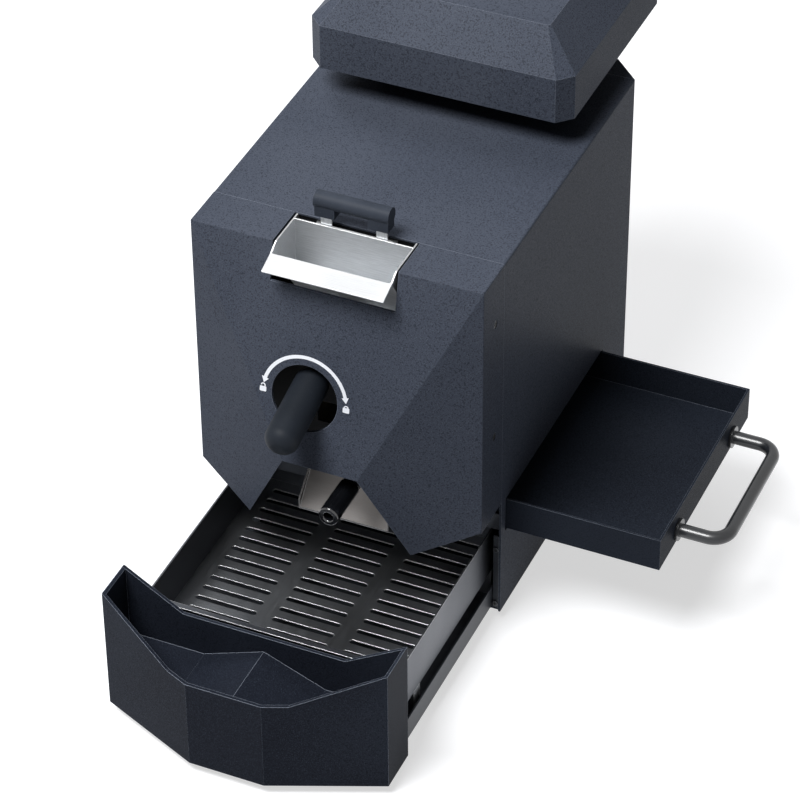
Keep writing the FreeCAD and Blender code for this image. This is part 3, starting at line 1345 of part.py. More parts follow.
def main():
    os.makedirs("parts", exist_ok=True)
    for make in (make_base, make_case, make_rear):
        make()
    make_cover(make_posts())
    for make in (make_feed, make_chamber, make_drum, make_drive, make_lever, make_discharge, make_cooling_drawer,
                 make_chaff_drawer, make_head, make_rear_fittings):
        make()
    doc.recompute()
    failed = [thing.Name for thing in doc.Objects if {"Invalid", "Error"} & set(thing.State)]
    for piece in PIECES:
        if piece.Shape.isNull() or not piece.Shape.isValid():
            failed.append(piece.Label)
    if failed:
        raise RuntimeError(f"these did not build: {failed}")
    for piece in PIECES:
        piece.Shape.exportStep(f"parts/{piece.Label}.step")
    print(f"{len(PIECES)} sub-parts written")


main()
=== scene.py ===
import math

import bmesh
import bpy
from mathutils import Matrix, Vector
from mathutils.bvhtree import BVHTree


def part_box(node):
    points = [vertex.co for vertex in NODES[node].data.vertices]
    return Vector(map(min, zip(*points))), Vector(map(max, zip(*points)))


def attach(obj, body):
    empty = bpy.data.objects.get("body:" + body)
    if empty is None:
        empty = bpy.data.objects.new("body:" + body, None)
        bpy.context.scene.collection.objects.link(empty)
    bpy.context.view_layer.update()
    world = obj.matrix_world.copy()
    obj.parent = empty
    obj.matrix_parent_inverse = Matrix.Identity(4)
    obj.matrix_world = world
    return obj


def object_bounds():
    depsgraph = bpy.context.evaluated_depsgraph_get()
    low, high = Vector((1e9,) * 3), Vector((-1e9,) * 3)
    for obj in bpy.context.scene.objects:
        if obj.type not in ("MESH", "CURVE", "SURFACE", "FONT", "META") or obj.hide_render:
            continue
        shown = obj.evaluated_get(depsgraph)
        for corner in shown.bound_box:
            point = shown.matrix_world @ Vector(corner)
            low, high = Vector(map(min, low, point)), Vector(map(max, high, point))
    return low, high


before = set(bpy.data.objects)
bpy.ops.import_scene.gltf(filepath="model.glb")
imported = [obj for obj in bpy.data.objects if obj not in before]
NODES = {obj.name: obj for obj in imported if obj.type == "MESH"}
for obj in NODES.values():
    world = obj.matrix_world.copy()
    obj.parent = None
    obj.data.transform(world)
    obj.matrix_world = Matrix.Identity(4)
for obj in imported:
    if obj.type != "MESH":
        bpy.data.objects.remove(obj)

bl_info = {
    "name": "Coffee Roaster Finish",
    "version": (1, 0, 0),
    "blender": (4, 5, 0),
    "location": "View3D > Sidebar > Roaster",
    "description": "Finishes, printed marks and small fittings for a home coffee roaster",
    "category": "Object",
}

CAD_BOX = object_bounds()
MM = 0.001
KNOBS = ("power_knob", "airflow_knob", "cooling_knob", "drum_knob")

CASE_LOW, CASE_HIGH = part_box("case_shell")
# The machine's own origin: the case's centre line, the seam to the front cover, the underside
MACHINE_ORIGIN = Vector(((CASE_LOW.x + CASE_HIGH.x) / 2, CASE_LOW.y, CASE_LOW.z))
HEAD_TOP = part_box("head_shell")[1].z


def shade(code):
    """A colour written as on a paint card, as the linear values that Blender stores."""
    values = []
    for start in (1, 3, 5):
        level = int(code[start:start + 2], 16) / 255
        values.append(level / 12.92 if level <= 0.04045 else ((level + 0.055) / 1.055) ** 2.4)
    return tuple(values)


def opaque(colour):
    """A colour, or the code of one, with full cover."""
    return (*(shade(colour) if isinstance(colour, str) else colour), 1.0)


# Settings


def colour_setting(name, description, code):
    return bpy.props.FloatVectorProperty(
        name=name, description=description, subtype="COLOR", size=3, min=0, max=1,
        default=shade(code))


def place_setting(name, description, metres):
    return bpy.props.FloatVectorProperty(
        name=name, description=description, subtype="TRANSLATION", unit="LENGTH", default=metres)


def number_setting(name, description, value, **kind):
    return bpy.props.FloatProperty(name=name, description=description, default=value, **kind)


def length_setting(name, description, millimetres):
    return number_setting(
        name, description, millimetres * MM, subtype="DISTANCE", unit="LENGTH")


def angle_setting(name, description, degrees):
    return number_setting(
        name, description, math.radians(degrees), subtype="ANGLE", unit="ROTATION")


def power_setting(name, description, watts):
    return number_setting(name, description, watts, unit="POWER")


def lens_setting(name, description, millimetres):
    return number_setting(
        name, description, millimetres, subtype="DISTANCE_CAMERA", unit="CAMERA")


class RoasterFinishSettings(bpy.types.PropertyGroup):
    coat: colour_setting(
        "Powder coat", "Blue-black ground of the cabinet's powder coat", "#3a3f4a")
    fleck: colour_setting("Fleck", "Pale grains in the powder coat", "#6a6f7a")
    drawer_coat: colour_setting(
        "Drawer coat", "Navy-black coat of the cooling drawer's front", "#171a22")
    steel: colour_setting("Stainless steel", "Brushed sheet of the chute and the drum", "#d6d8da")
    machined: colour_setting("Machined steel", "Shafts, gears and screws", "#a9abad")
    dark_steel: colour_setting("Dark steel", "Drawer pan, rails and posts", "#2a2d33")
    rubber: colour_setting("Rubber", "Grip on the lever, and the feet", "#161a20")
    gloss: colour_setting("Gloss black", "The trier's grip and the rocker", "#0b0c0f")
    plastic: colour_setting("Satin plastic", "Knobs and the push button", "#1b1d21")
    moulding: colour_setting("Moulded plastic", "Fan frames, blades and the inlet", "#16171a")
    copper: colour_setting("Solder mask", "Face of the control board", "#17462c")
    ink: colour_setting("Ink", "Printed marks", "#e9ecf2")
    readout: colour_setting("Readout", "Lit segments behind the window", "#ffb347")
    grain: length_setting("Grain", "Size of a fleck in the powder coat", 0.5)
    edge: length_setting("Edge", "Radius of the soft highlight along sheet edges", 0.55)


class RoasterMarkSettings(bpy.types.PropertyGroup):
    pivot_x: length_setting(
        "Pivot across", "Lever's pivot from the machine's centre line", -14.5)
    pivot_z: length_setting("Pivot height", "Lever's pivot above the case's underside", 194.0)
    arc_radius: length_setting("Arc radius", "Centre line of the printed arc", 30.4)
    arc_width: length_setting("Arc width", "Breadth of the printed arc", 2.5)
    head_width: length_setting("Arrow width", "Breadth of an arrowhead", 5.2)
    head_length: length_setting("Arrow length", "Length of an arrowhead", 4.2)
    lock_width: length_setting("Padlock width", "Breadth of a padlock's body", 4.8)
    ink_depth: length_setting("Ink depth", "Thickness of a printed mark", 0.12)
    tick_length: length_setting("Tick length", "Length of a dial's tick", 2.6)
    tick_width: length_setting("Tick width", "Breadth of a dial's tick", 0.7)
    tick_gap: length_setting("Tick gap", "From a knob's rim to its ticks", 2.0)
    symbol_size: length_setting("Symbol size", "Half the height of a dial's symbol", 2.6)
    symbol_gap: length_setting("Symbol gap", "From a knob's rim to its symbol's centre", 8.0)
    pointer_width: length_setting("Pointer width", "Breadth of the line on a knob", 1.0)
    light_depth: length_setting("Light depth", "Thickness of a lit segment", 0.1)
    light_sink: length_setting("Light sink", "How deep a segment's foot lies in the glass", 0.02)
    recess_depth: length_setting("Recess depth", "Thickness of the mark on a screw", 0.06)
    sweep: angle_setting("Dial sweep", "Angle from the first tick to the last", 300)
    ticks: bpy.props.IntProperty(
        name="Ticks", description="Ticks round each dial", default=11, min=2)


class RoasterStageSettings(bpy.types.PropertyGroup):
    floor: colour_setting("Floor", "Pale studio floor", "#b9babd")
    floor_size: length_setting("Floor size", "Side of the square floor", 24000)
    floor_gap: length_setting("Floor gap", "From the part's feet down to the floor", 0.2)
    floor_glow: number_setting(
        "Floor glow", "Light that the floor shows but doesn't cast", 0.62)
    key_place: place_setting(
        "Key place", "Where the light above the front hangs", (-0.55, -1.3, 2.7))
    key_size: length_setting("Key size", "Breadth of the light above the front", 1300)
    key_power: power_setting("Key light", "Power of the large soft light above the front", 118)
    back_place: place_setting("Back place", "Where the light behind hangs", (-1.6, 1.0, 2.3))
    back_size: length_setting("Back size", "Breadth of the light behind", 1200)
    back_power: power_setting(
        "Back light", "Power of the soft light behind and to the left", 34)
    target: place_setting("Target", "Where both lights point", (0, 0, 0.15))
    world_level: number_setting("Room light", "Strength of the even light", 0.07)
    camera_place: place_setting(
        "Camera place", "Where the camera stands", (0.72941, -1.78429, 1.67725))
    azimuth: angle_setting("Azimuth", "Turn of the camera round the upright", 24.016)
    elevation: angle_setting("Elevation", "Angle of the camera above the floor", 38.288)
    roll: angle_setting("Roll", "Turn of the camera about its own view", -0.479)
    lens: lens_setting("Lens", "Focal length", 161.116)
    sensor: lens_setting("Sensor", "Breadth of the sensor", 36.0)


# Effects shared by several finishes, as shader node groups


def new_group(name, inputs, outputs):
    """An empty shader node group with named sockets, and its input and output nodes."""
    tree = bpy.data.node_groups.new(name, "ShaderNodeTree")
    for side, sockets in (("INPUT", inputs), ("OUTPUT", outputs)):
        for socket, kind in sockets:
            tree.interface.new_socket(socket, in_out=side, socket_type="NodeSocket" + kind)
    return tree, tree.nodes.new("NodeGroupInput"), tree.nodes.new("NodeGroupOutput")


def feed_socket(tree, socket, value):
    """Gives a socket its value: a link from another socket, or a plain number or colour."""
    if isinstance(value, bpy.types.NodeSocket):
        tree.links.new(value, socket)
    else:
        socket.default_value = value


def math_node(tree, operation, first, second):
    """A maths node fed by sockets or plain numbers; gives its output socket."""
    node = tree.nodes.new("ShaderNodeMath")
    node.operation = operation
    feed_socket(tree, node.inputs[0], first)
    feed_socket(tree, node.inputs[1], second)
    return node.outputs[0]


def share_of(tree, value, share):
    """A socket's value times a share; gives the output socket."""
    return math_node(tree, "MULTIPLY", value, share)


def noise_node(tree, scale, detail, place=None, roughness=0.5):
    """A noise texture, on the piece's own coordinates if no place is given."""
    node = tree.nodes.new("ShaderNodeTexNoise")
    node.inputs["Detail"].default_value = detail
    node.inputs["Roughness"].default_value = roughness
    if place is None:
        place = tree.nodes.new("ShaderNodeTexCoord").outputs["Object"]
    tree.links.new(place, node.inputs["Vector"])
    feed_socket(tree, node.inputs["Scale"], scale)
    return node.outputs["Fac"]


def ramp_node(tree, value, low, high, to_low=0.0, to_high=1.0):
    """Stretches a value between two limits, smoothly; gives its output socket."""
    node = tree.nodes.new("ShaderNodeMapRange")
    node.interpolation_type = "SMOOTHSTEP"
    limits = {"From Min": low, "From Max": high, "To Min": to_low, "To Max": to_high}
    for socket, number in limits.items():
        node.inputs[socket].default_value = number
    tree.links.new(value, node.inputs["Value"])
    return node.outputs["Result"]


# Places of the colour sockets on Blender's mix node, which has several of each name
MIX_FIRST, MIX_SECOND, MIX_RESULT = 6, 7, 2


def mix_node(tree, factor, first, second):
    """Mixes two colours; gives its output socket."""
    node = tree.nodes.new("ShaderNodeMix")
    node.data_type = "RGBA"
    feed_socket(tree, node.inputs["Factor"], factor)
    feed_socket(tree, node.inputs[MIX_FIRST], first)
    feed_socket(tree, node.inputs[MIX_SECOND], second)
    return node.outputs[MIX_RESULT]


COAT_OUTPUTS = (("Color", "Color"), ("Height", "Float"), ("Roughness", "Float"))


def make_fleck_group():
    """Powder coat: pale flecks, dark pits and a slow drift of tone over the ground colour."""
    pit_coarseness, pit_darkness, pit_depth = 0.45, 0.45, 0.6
    pit_colour = (0.004, 0.005, 0.007, 1)
    drift_scale, drift_strength = 6.0, 0.12
    tree, given, result = new_group(
        "Powder Flecks",
        (("Ground", "Color"), ("Fleck", "Color"), ("Grain", "Float"), ("Amount", "Float")),
        COAT_OUTPUTS)
    scale = math_node(tree, "DIVIDE", 1.0, given.outputs["Grain"])
    grain = noise_node(tree, scale, detail=2.0, roughness=0.6)
    coarse = noise_node(tree, share_of(tree, scale, pit_coarseness), detail=1.0)
    drift = noise_node(tree, drift_scale, detail=2.0)
    pale = share_of(tree, ramp_node(tree, grain, low=0.5, high=0.72), given.outputs["Amount"])
    pits = share_of(tree, ramp_node(tree, coarse, low=0.46, high=0.34), pit_darkness)
    tone = mix_node(
        tree, share_of(tree, ramp_node(tree, drift, low=0.35, high=0.65), drift_strength),
        given.outputs["Ground"], given.outputs["Fleck"])
    flecked = mix_node(tree, pale, tone, given.outputs["Fleck"])
    tree.links.new(mix_node(tree, pits, flecked, pit_colour), result.inputs["Color"])
    height = math_node(tree, "SUBTRACT", grain, share_of(tree, pits, pit_depth))
    tree.links.new(height, result.inputs["Height"])
    roughness = ramp_node(tree, grain, low=0.3, high=0.7, to_low=0.56, to_high=0.38)
    tree.links.new(roughness, result.inputs["Roughness"])
    return tree


def make_edge_group():
    """Rounded light along sharp edges, and a mask of where the edges are."""
    samples, flat, sharp = 4, 0.995, 0.86
    tree, given, result = new_group(
        "Sheet Edges", (("Radius", "Float"),), (("Mask", "Float"), ("Normal", "Vector")))
    bevel = tree.nodes.new("ShaderNodeBevel")
    bevel.samples = samples
    tree.links.new(given.outputs["Radius"], bevel.inputs["Radius"])
    surface = tree.nodes.new("ShaderNodeNewGeometry")
    product = tree.nodes.new("ShaderNodeVectorMath")
    product.operation = "DOT_PRODUCT"
    tree.links.new(bevel.outputs["Normal"], product.inputs[0])
    tree.links.new(surface.outputs["Normal"], product.inputs[1])
    mask = ramp_node(tree, product.outputs["Value"], low=flat, high=sharp)
    tree.links.new(mask, result.inputs["Mask"])
    tree.links.new(bevel.outputs["Normal"], result.inputs["Normal"])
    return tree


def make_brush_group():
    """Brushed sheet: fine streaks along one axis, as a height, a tone and a roughness."""
    cloud_scale, dull_strength, dull_colour = 14.0, 0.22, (0.2, 0.2, 0.21, 1)
    streak_share, cloud_share = 0.6, 0.4
    tree, given, result = new_group(
        "Brushed Streaks",
        (("Stretch", "Vector"), ("Fineness", "Float"), ("Metal", "Color")),
        COAT_OUTPUTS)
    place = tree.nodes.new("ShaderNodeTexCoord")
    stretched = tree.nodes.new("ShaderNodeVectorMath")
    stretched.operation = "MULTIPLY"
    tree.links.new(place.outputs["Object"], stretched.inputs[0])
    tree.links.new(given.outputs["Stretch"], stretched.inputs[1])
    streaks = noise_node(tree, given.outputs["Fineness"], detail=3.0,
                         place=stretched.outputs["Vector"], roughness=0.7)
    cloud = noise_node(tree, cloud_scale, detail=2.0)
    dullness = share_of(tree, ramp_node(tree, streaks, low=0.35, high=0.65), dull_strength)
    dull = mix_node(tree, dullness, given.outputs["Metal"], dull_colour)
    tree.links.new(dull, result.inputs["Color"])
    tree.links.new(streaks, result.inputs["Height"])
    mixed = math_node(
        tree, "ADD", share_of(tree, streaks, streak_share), share_of(tree, cloud, cloud_share))
    roughness = ramp_node(tree, mixed, low=0.3, high=0.7, to_low=0.3, to_high=0.48)
    tree.links.new(roughness, result.inputs["Roughness"])
    return tree


def make_wear_group():
    """Handling marks: a cloudy tone and roughness, with fine dust."""
    cloud_scale, dust_scale, cloud_dullness = 22.0, 900.0, 0.14
    tree, given, result = new_group(
        "Handling Marks",
        (("Ground", "Color"), ("Dust", "Color"), ("Amount", "Float"), ("Dull", "Float")),
        COAT_OUTPUTS)
    cloud = noise_node(tree, cloud_scale, detail=4.0)
    dust = noise_node(tree, dust_scale, detail=1.0)
    amount = given.outputs["Amount"]
    spots = share_of(tree, ramp_node(tree, dust, low=0.6, high=0.75), amount)
    veil = share_of(tree, ramp_node(tree, cloud, low=0.35, high=0.75), amount)
    marked = math_node(tree, "MAXIMUM", spots, veil)
    colour = mix_node(tree, marked, given.outputs["Ground"], given.outputs["Dust"])
    tree.links.new(colour, result.inputs["Color"])
    tree.links.new(dust, result.inputs["Height"])
    roughness = math_node(
        tree, "ADD", given.outputs["Dull"], share_of(tree, cloud, cloud_dullness))
    tree.links.new(roughness, result.inputs["Roughness"])
    return tree


GROUPS = {}
GROUP_MAKERS = {
    "flecks": make_fleck_group,
    "edges": make_edge_group,
    "brush": make_brush_group,
    "wear": make_wear_group,
}


def shared_effect(key):
    """The shared node group of that name, built the first time it is asked for."""
    if key not in GROUPS:
        GROUPS[key] = GROUP_MAKERS[key]()
    return GROUPS[key]


# Finishes


class Finish:
    """A material being put together round its Principled shader."""

    def __init__(self, name, **plain):
        self.material = bpy.data.materials.new(name)
        self.material.use_nodes = True
        self.tree = self.material.node_tree
        self.shader = self.tree.nodes["Principled BSDF"]
        for socket, value in plain.items():
            self.shader.inputs[socket.replace("_", " ")].default_value = value

    def effect(self, key, **values):
        """Adds a shared effect with its own values; gives its node."""
        node = self.tree.nodes.new("ShaderNodeGroup")
        node.node_tree = shared_effect(key)
        for socket, value in values.items():
            node.inputs[socket].default_value = value
        return node

    def feed(self, output, socket):
        self.tree.links.new(output, self.shader.inputs[socket])

    def emboss(self, height, distance, strength, normal=None):
        """Raises the surface by a height, over a softened normal if one is given."""
        bump = self.tree.nodes.new("ShaderNodeBump")
        bump.inputs["Distance"].default_value = distance
        bump.inputs["Strength"].default_value = strength
        self.tree.links.new(height, bump.inputs["Height"])
        if normal is not None:
            self.tree.links.new(normal, bump.inputs["Normal"])
        self.feed(bump.outputs["Normal"], "Normal")

    def cover(self, effect, highlight_colour, highlight_share, distance, strength):
        """Lays an effect over the whole piece, with soft edges and a painted highlight along
        them.
        """
        edges = self.effect("edges", Radius=settings().edge)
        # Painted highlight: the colour pales towards a light tone along the edges' mask, by a
        # share
        lift = share_of(self.tree, edges.outputs["Mask"], highlight_share)
        colour = mix_node(self.tree, lift, effect.outputs["Color"], opaque(highlight_colour))
        self.feed(colour, "Base Color")
        self.feed(effect.outputs["Roughness"], "Roughness")
        self.emboss(effect.outputs["Height"], distance, strength, edges.outputs["Normal"])
        return self.material


def settings():
    return bpy.context.scene.roaster_finish


def powder_coat(name, ground, fleck, amount, edge_highlight):
    """Fine-speckled powder coat over folded sheet, with a painted highlight where the light
    catches an edge.
    """
    finish = Finish(name, Specular_IOR_Level=0.03)
    grain = finish.effect("flecks", Ground=opaque(ground), Fleck=opaque(fleck),
                          Grain=settings().grain, Amount=amount)
    # 9aa2b0 is the tone of the painted highlight along the edges
    return finish.cover(grain, "#9aa2b0", edge_highlight, distance=0.12 * MM, strength=0.35)


def brushed_sheet(name, metal, axis, squeeze=30.0, stretch=1.0, fineness=60.0, depth=0.25):
    """Brushed steel whose streaks run along one axis and are squeezed across it."""
    finish = Finish(name, Metallic=1.0)
    run = tuple(stretch if letter == axis else squeeze for letter in "xyz")
    streaks = finish.effect("brush", Stretch=run, Fineness=fineness, Metal=opaque(metal))
    # Painted highlight: the edges pale towards near-white #f2f3f4
    return finish.cover(streaks, "#f2f3f4", highlight_share=0.7, distance=0.05 * MM, strength=depth)


def worn_surface(name, ground, dust, amount, dull, depth=0.1, highlight_share=0.25, **plain):
    """A moulded or coated surface with handling marks, and soft edges with a painted highlight in
    the dust colour.
    """
    finish = Finish(name, **plain)
    marks = finish.effect(
        "wear", Ground=opaque(ground), Dust=opaque(dust), Amount=amount, Dull=dull)
    # Painted highlight: the edges pale towards the dust colour, by the highlight share
    return finish.cover(marks, dust, highlight_share, distance=0.08 * MM, strength=depth)


def board_surface(name, ground):
    """Solder mask with paler copper runs under it."""
    finish = Finish(name, Coat_Weight=0.4)
    runs = finish.tree.nodes.new("ShaderNodeTexBrick")
    runs.inputs["Scale"].default_value = 160.0
    runs.inputs["Mortar Size"].default_value = 0.035
    runs.inputs["Color1"].default_value = opaque(ground)
    runs.inputs["Color2"].default_value = opaque("#1d5435")
    runs.inputs["Mortar"].default_value = opaque("#4c8a5c")
    place = finish.tree.nodes.new("ShaderNodeTexCoord")
    finish.tree.links.new(place.outputs["Object"], runs.inputs["Vector"])
    marks = finish.effect(
        "wear", Ground=opaque(ground), Dust=opaque("#5f7a68"), Amount=0.2, Dull=0.3)
    wear_share = 0.35
    colour = mix_node(finish.tree, wear_share, runs.outputs["Color"], marks.outputs["Color"])
    finish.feed(colour, "Base Color")
    finish.feed(marks.outputs["Roughness"], "Roughness")
    finish.emboss(runs.outputs["Fac"], distance=0.04 * MM, strength=0.5)
    return finish.material


def ink_surface(name, colour):
    """Screen-printed ink, slightly uneven and greyed in places."""
    finish = Finish(name, Roughness=0.5)
    marks = finish.effect(
        "wear", Ground=opaque(colour), Dust=opaque("#a6abb5"), Amount=0.35, Dull=0.4)
    finish.feed(marks.outputs["Color"], "Base Color")
    finish.feed(marks.outputs["Roughness"], "Roughness")
    return finish.material


def lit_surface(name, colour):
    """Lit segments, slightly uneven as light guides are."""
    finish = Finish(name, Roughness=0.4, Emission_Strength=0.9)
    marks = finish.effect(
        "wear", Ground=opaque(colour), Dust=opaque("#ffdca0"), Amount=0.6, Dull=0.3)
    finish.feed(marks.outputs["Color"], "Base Color")
    finish.feed(marks.outputs["Color"], "Emission Color")
    return finish.material


def dress(material, *names):
    """Gives CAD nodes their finish in their first material slot."""
    for name in names:
        mesh = NODES[name].data
        mesh.materials.clear()
        mesh.materials.append(material)


# Shapes laid on the machine


class Surface:
    """A flat frame on a piece: an origin, two directions along the face and the way out."""

    def __init__(self, origin, across, up):
        self.origin = Vector(origin)
        self.across = Vector(across).normalized()
        self.out = self.across.cross(Vector(up)).normalized()
        self.up = self.out.cross(self.across)

    def point(self, a, b, lift=0.0):
        return self.origin + self.across * a + self.up * b + self.out * lift


def level_surface(x, y, z):
    """A flat frame that looks straight up, across to the right and up to the back."""
    return Surface((x, y, z), (1, 0, 0), (0, 1, 0))


def struck(name, start, direction):
    """Where a straight line from a point first meets a CAD node."""
    mesh = bmesh.new()
    mesh.from_mesh(NODES[name].data)
    tree = BVHTree.FromBMesh(mesh)
    mesh.free()
    place = tree.ray_cast(Vector(start), Vector(direction).normalized())[0]
    if place is None:
        raise RuntimeError(f"no surface of {name} is met from {tuple(start)}")
    return place


def add_mesh(name, shape, material, body):
    """Makes an object from a bmesh, with its finish, on its body."""
    mesh = bpy.data.meshes.new(name)
    bmesh.ops.recalc_face_normals(shape, faces=shape.faces)
    shape.to_mesh(mesh)
    shape.free()
    made = bpy.data.objects.new(name, mesh)
    bpy.context.scene.collection.objects.link(made)
    mesh.materials.append(material)
    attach(made, body)
    return made


def add_plates(name, outlines, surface, depth, material, body, base=0.0):
    """Thin plates with flat outlines, standing on a surface."""
    shape = bmesh.new()
    for outline in outlines:
        low = [shape.verts.new(surface.point(a, b, base)) for a, b in outline]
        high = [shape.verts.new(surface.point(a, b, base + depth)) for a, b in outline]
        shape.faces.new(low)
        shape.faces.new(high)
        for place in range(len(outline)):
            after = (place + 1) % len(outline)
            shape.faces.new((low[place], low[after], high[after], high[place]))
    return add_mesh(name, shape, material, body)


def arc_points(radius, start, end, count, centre=(0.0, 0.0)):
    """Points along an arc, angles in degrees from the across direction."""
    points = []
    for step in range(count + 1):
        angle = math.radians(start + (end - start) * step / count)
        points.append(
            (centre[0] + radius * math.cos(angle), centre[1] + radius * math.sin(angle)))
    return points


def band(radius, width, start, end, count, centre=(0.0, 0.0)):
    """One outline of a curved band."""
    outer = arc_points(radius + width / 2, start, end, count, centre)
    inner = arc_points(radius - width / 2, end, start, count, centre)
    return outer + inner


def bar(start, end, width):
    """One outline of a straight stroke."""
    a, b = Vector(start), Vector(end)
    side = (b - a).normalized().orthogonal() * width / 2
    return [tuple(a + side), tuple(b + side), tuple(b - side), tuple(a - side)]


def rounded(half_width, half_height, radius, centre=(0.0, 0.0)):
    """One outline of a rectangle with round corners."""
    corner_steps = 4
    points = []
    for turn, (sx, sy) in enumerate(((1, 1), (-1, 1), (-1, -1), (1, -1))):
        corner = (centre[0] + sx * (half_width - radius), centre[1] + sy * (half_height - radius))
        points += arc_points(radius, 90 * turn, 90 * turn + 90, corner_steps, corner)
    return points


def padlock(centre, width, is_open):
    """Outlines of a padlock: its body and its shackle, raised and one-legged when open."""
    hoop_steps = 12
    x, y = centre
    half = width / 2
    body = {"half_height": half * 0.78, "radius": half * 0.25}
    shackle_radius = half * 0.56
    line = width * 0.17
    lift = half * 0.42 if is_open else 0.0
    leg_foot = y + half * 0.6
    leg_top = y + half * 0.72 + lift
    outlines = [rounded(half, centre=centre, **body),
                band(shackle_radius, line, 0, 180, hoop_steps, (x, leg_top))]
    for side in (1,) if is_open else (1, -1):
        leg = x + side * shackle_radius
        outlines.append(bar((leg, leg_foot), (leg, leg_top), line))
    return outlines


def islands(name):
    """The separate solids of a CAD node, each as its lowest and highest corners."""
    weld_distance = 1e-6
    shape = bmesh.new()
    shape.from_mesh(NODES[name].data)
    bmesh.ops.remove_doubles(shape, verts=shape.verts, dist=weld_distance)
    seen, found = set(), []
    for first in shape.verts:
        if first in seen:
            continue
        stack, members = [first], []
        seen.add(first)
        while stack:
            vertex = stack.pop()
            members.append(vertex.co.copy())
            for edge in vertex.link_edges:
                other = edge.other_vert(vertex)
                if other not in seen:
                    seen.add(other)
                    stack.append(other)
        found.append(tuple(
            Vector(pick(point[axis] for point in members) for axis in range(3))
            for pick in (min, max)))
    shape.free()
    return found


# Operators


class FinishStep:
    """What the steps that give CAD nodes their finishes have in common"""

    def execute(self, context):
        self.finish(settings())
        return {"FINISHED"}


class ROASTER_OT_coat_cabinet(FinishStep, bpy.types.Operator):
    """Powder coats the case, its covers, the base plate and the control head"""
    bl_idname = "roaster.coat_cabinet"
    bl_label = "Coat Cabinet"

    def finish(self, chosen):
        dress(powder_coat("cabinet_powder_coat", chosen.coat, chosen.fleck, amount=0.4,
                          edge_highlight=0.5),
              "case_shell", "rear_cover", "front_cover", "base_plate", "head_shell",
              "head_base", "head_neck")


class ROASTER_OT_finish_drawers(FinishStep, bpy.types.Operator):
    """Finishes the cooling drawer and the chaff drawer with their rails and runners"""
    bl_idname = "roaster.finish_drawers"
    bl_label = "Finish Drawers"

    def finish(self, chosen):
        # The drawer front's rims get the full painted edge highlight
        dress(powder_coat("drawer_front_coat", chosen.drawer_coat, "#4a5260", amount=0.4,
                          edge_highlight=1.0), "drawer_front")
        dress(powder_coat("chaff_drawer_coat", "#1c2028", "#3d4450", amount=0.4,
                          edge_highlight=0.4), "chaff_drawer")
        dress(worn_surface("chaff_handle_coat", "#0f1114", "#4b5059", amount=0.12, dull=0.26,
                           Coat_Weight=0.3), "chaff_handle")
        dress(worn_surface("dark_rolled_steel", chosen.dark_steel, "#70757d", amount=0.2,
                           dull=0.34, depth=0.15, highlight_share=0.6, Metallic=0.6),
              "drawer_pan", "drawer_rails", "chaff_runners", "front_post_left",
              "front_post_right")
        dress(brushed_sheet("tray_steel", "#5d6066", "x", fineness=40.0), "cooling_tray")
        dress(brushed_sheet("screen_steel", "#8d9094", "y", fineness=50.0),
              "cooling_screen", "tray_supports")


class ROASTER_OT_finish_chute(FinishStep, bpy.types.Operator):
    """Finishes the feed chute, its gate and guides, and the gate's rubber bar"""
    bl_idname = "roaster.finish_chute"
    bl_label = "Finish Chute"

    def finish(self, chosen):
        dress(brushed_sheet("chute_steel", chosen.steel, "x"), "feed_chute")
        dress(brushed_sheet("gate_steel", chosen.steel, "z"), "feed_gate", "gate_guides")
        dress(worn_surface("gate_rubber", "#272c35", "#636b78", amount=0.15, dull=0.5,
                           depth=0.25, highlight_share=0.45, Specular_IOR_Level=0.15), "gate_handle")


class ROASTER_OT_finish_drum(FinishStep, bpy.types.Operator):
    """Finishes the drum, its plates, jacket, shield and heating elements"""
    bl_idname = "roaster.finish_drum"
    bl_label = "Finish Drum"

    def finish(self, chosen):
        dress(brushed_sheet("drum_steel", "#a8a39b", "y", squeeze=40.0, fineness=45.0),
              "roasting_drum", "heat_shield")
        dress(brushed_sheet("plate_steel", chosen.steel, "x", squeeze=40.0, fineness=50.0),
              "drum_rear_plate", "drum_jacket")
        dress(worn_surface("front_plate_coat", "#08090b", "#2b2e34", amount=0.15, dull=0.5,
                           Specular_IOR_Level=0.2), "drum_front_plate")
        dress(worn_surface("heater_sheath", "#4a4038", "#8b7b6a", amount=0.4, dull=0.45,
                           depth=0.3, Metallic=0.7), "heating_elements")


class ROASTER_OT_finish_drive(FinishStep, bpy.types.Operator):
    """Finishes the shafts, gears, motor, its plate and posts, the bearings and the screws"""
    bl_idname = "roaster.finish_drive"
    bl_label = "Finish Drive"

    def finish(self, chosen):
        dress(brushed_sheet("turned_steel", chosen.machined, "y", squeeze=60.0, stretch=3.0,
                            fineness=30.0, depth=0.15),
              "drum_shaft", "drum_gear", "drive_pinion", "drum_bearings", "lever_shaft")
        dress(worn_surface("motor_can", "#8e9094", "#c0c2c5", amount=0.25, dull=0.3,
                           depth=0.15, highlight_share=0.5, Metallic=0.9), "drive_motor")
        dress(brushed_sheet("motor_plate_steel", chosen.steel, "z", squeeze=40.0),
              "motor_plate", "motor_posts")
        dress(worn_surface("screw_black", "#24262a", "#8a8d92", amount=0.2, dull=0.3,
                           depth=0.1, highlight_share=0.6, Metallic=0.8), "case_screws")


class ROASTER_OT_finish_hand_parts(FinishStep, bpy.types.Operator):
    """Finishes the discharge lever and shutter, the spout, the trier and the feet"""
    bl_idname = "roaster.finish_hand_parts"
    bl_label = "Finish Hand Parts"

    def finish(self, chosen):
        dress(worn_surface("grip_rubber", chosen.rubber, "#464d58", amount=0.1, dull=0.48,
                           depth=0.3, highlight_share=0.3, Specular_IOR_Level=0.12),
              "lever_grip", "feet")
        dress(brushed_sheet("spout_steel", "#6d6a68", "x"),
              "discharge_spout", "discharge_shutter", "lever_bracket")
        dress(brushed_sheet("trier_steel", chosen.machined, "y", squeeze=50.0), "trier_tube")
        dress(worn_surface("trier_gloss", chosen.gloss, "#3c4048", amount=0.08, dull=0.07,
                           depth=0.02, highlight_share=0.2, Coat_Weight=1.0, Coat_Roughness=0.05),
              "trier_handle")


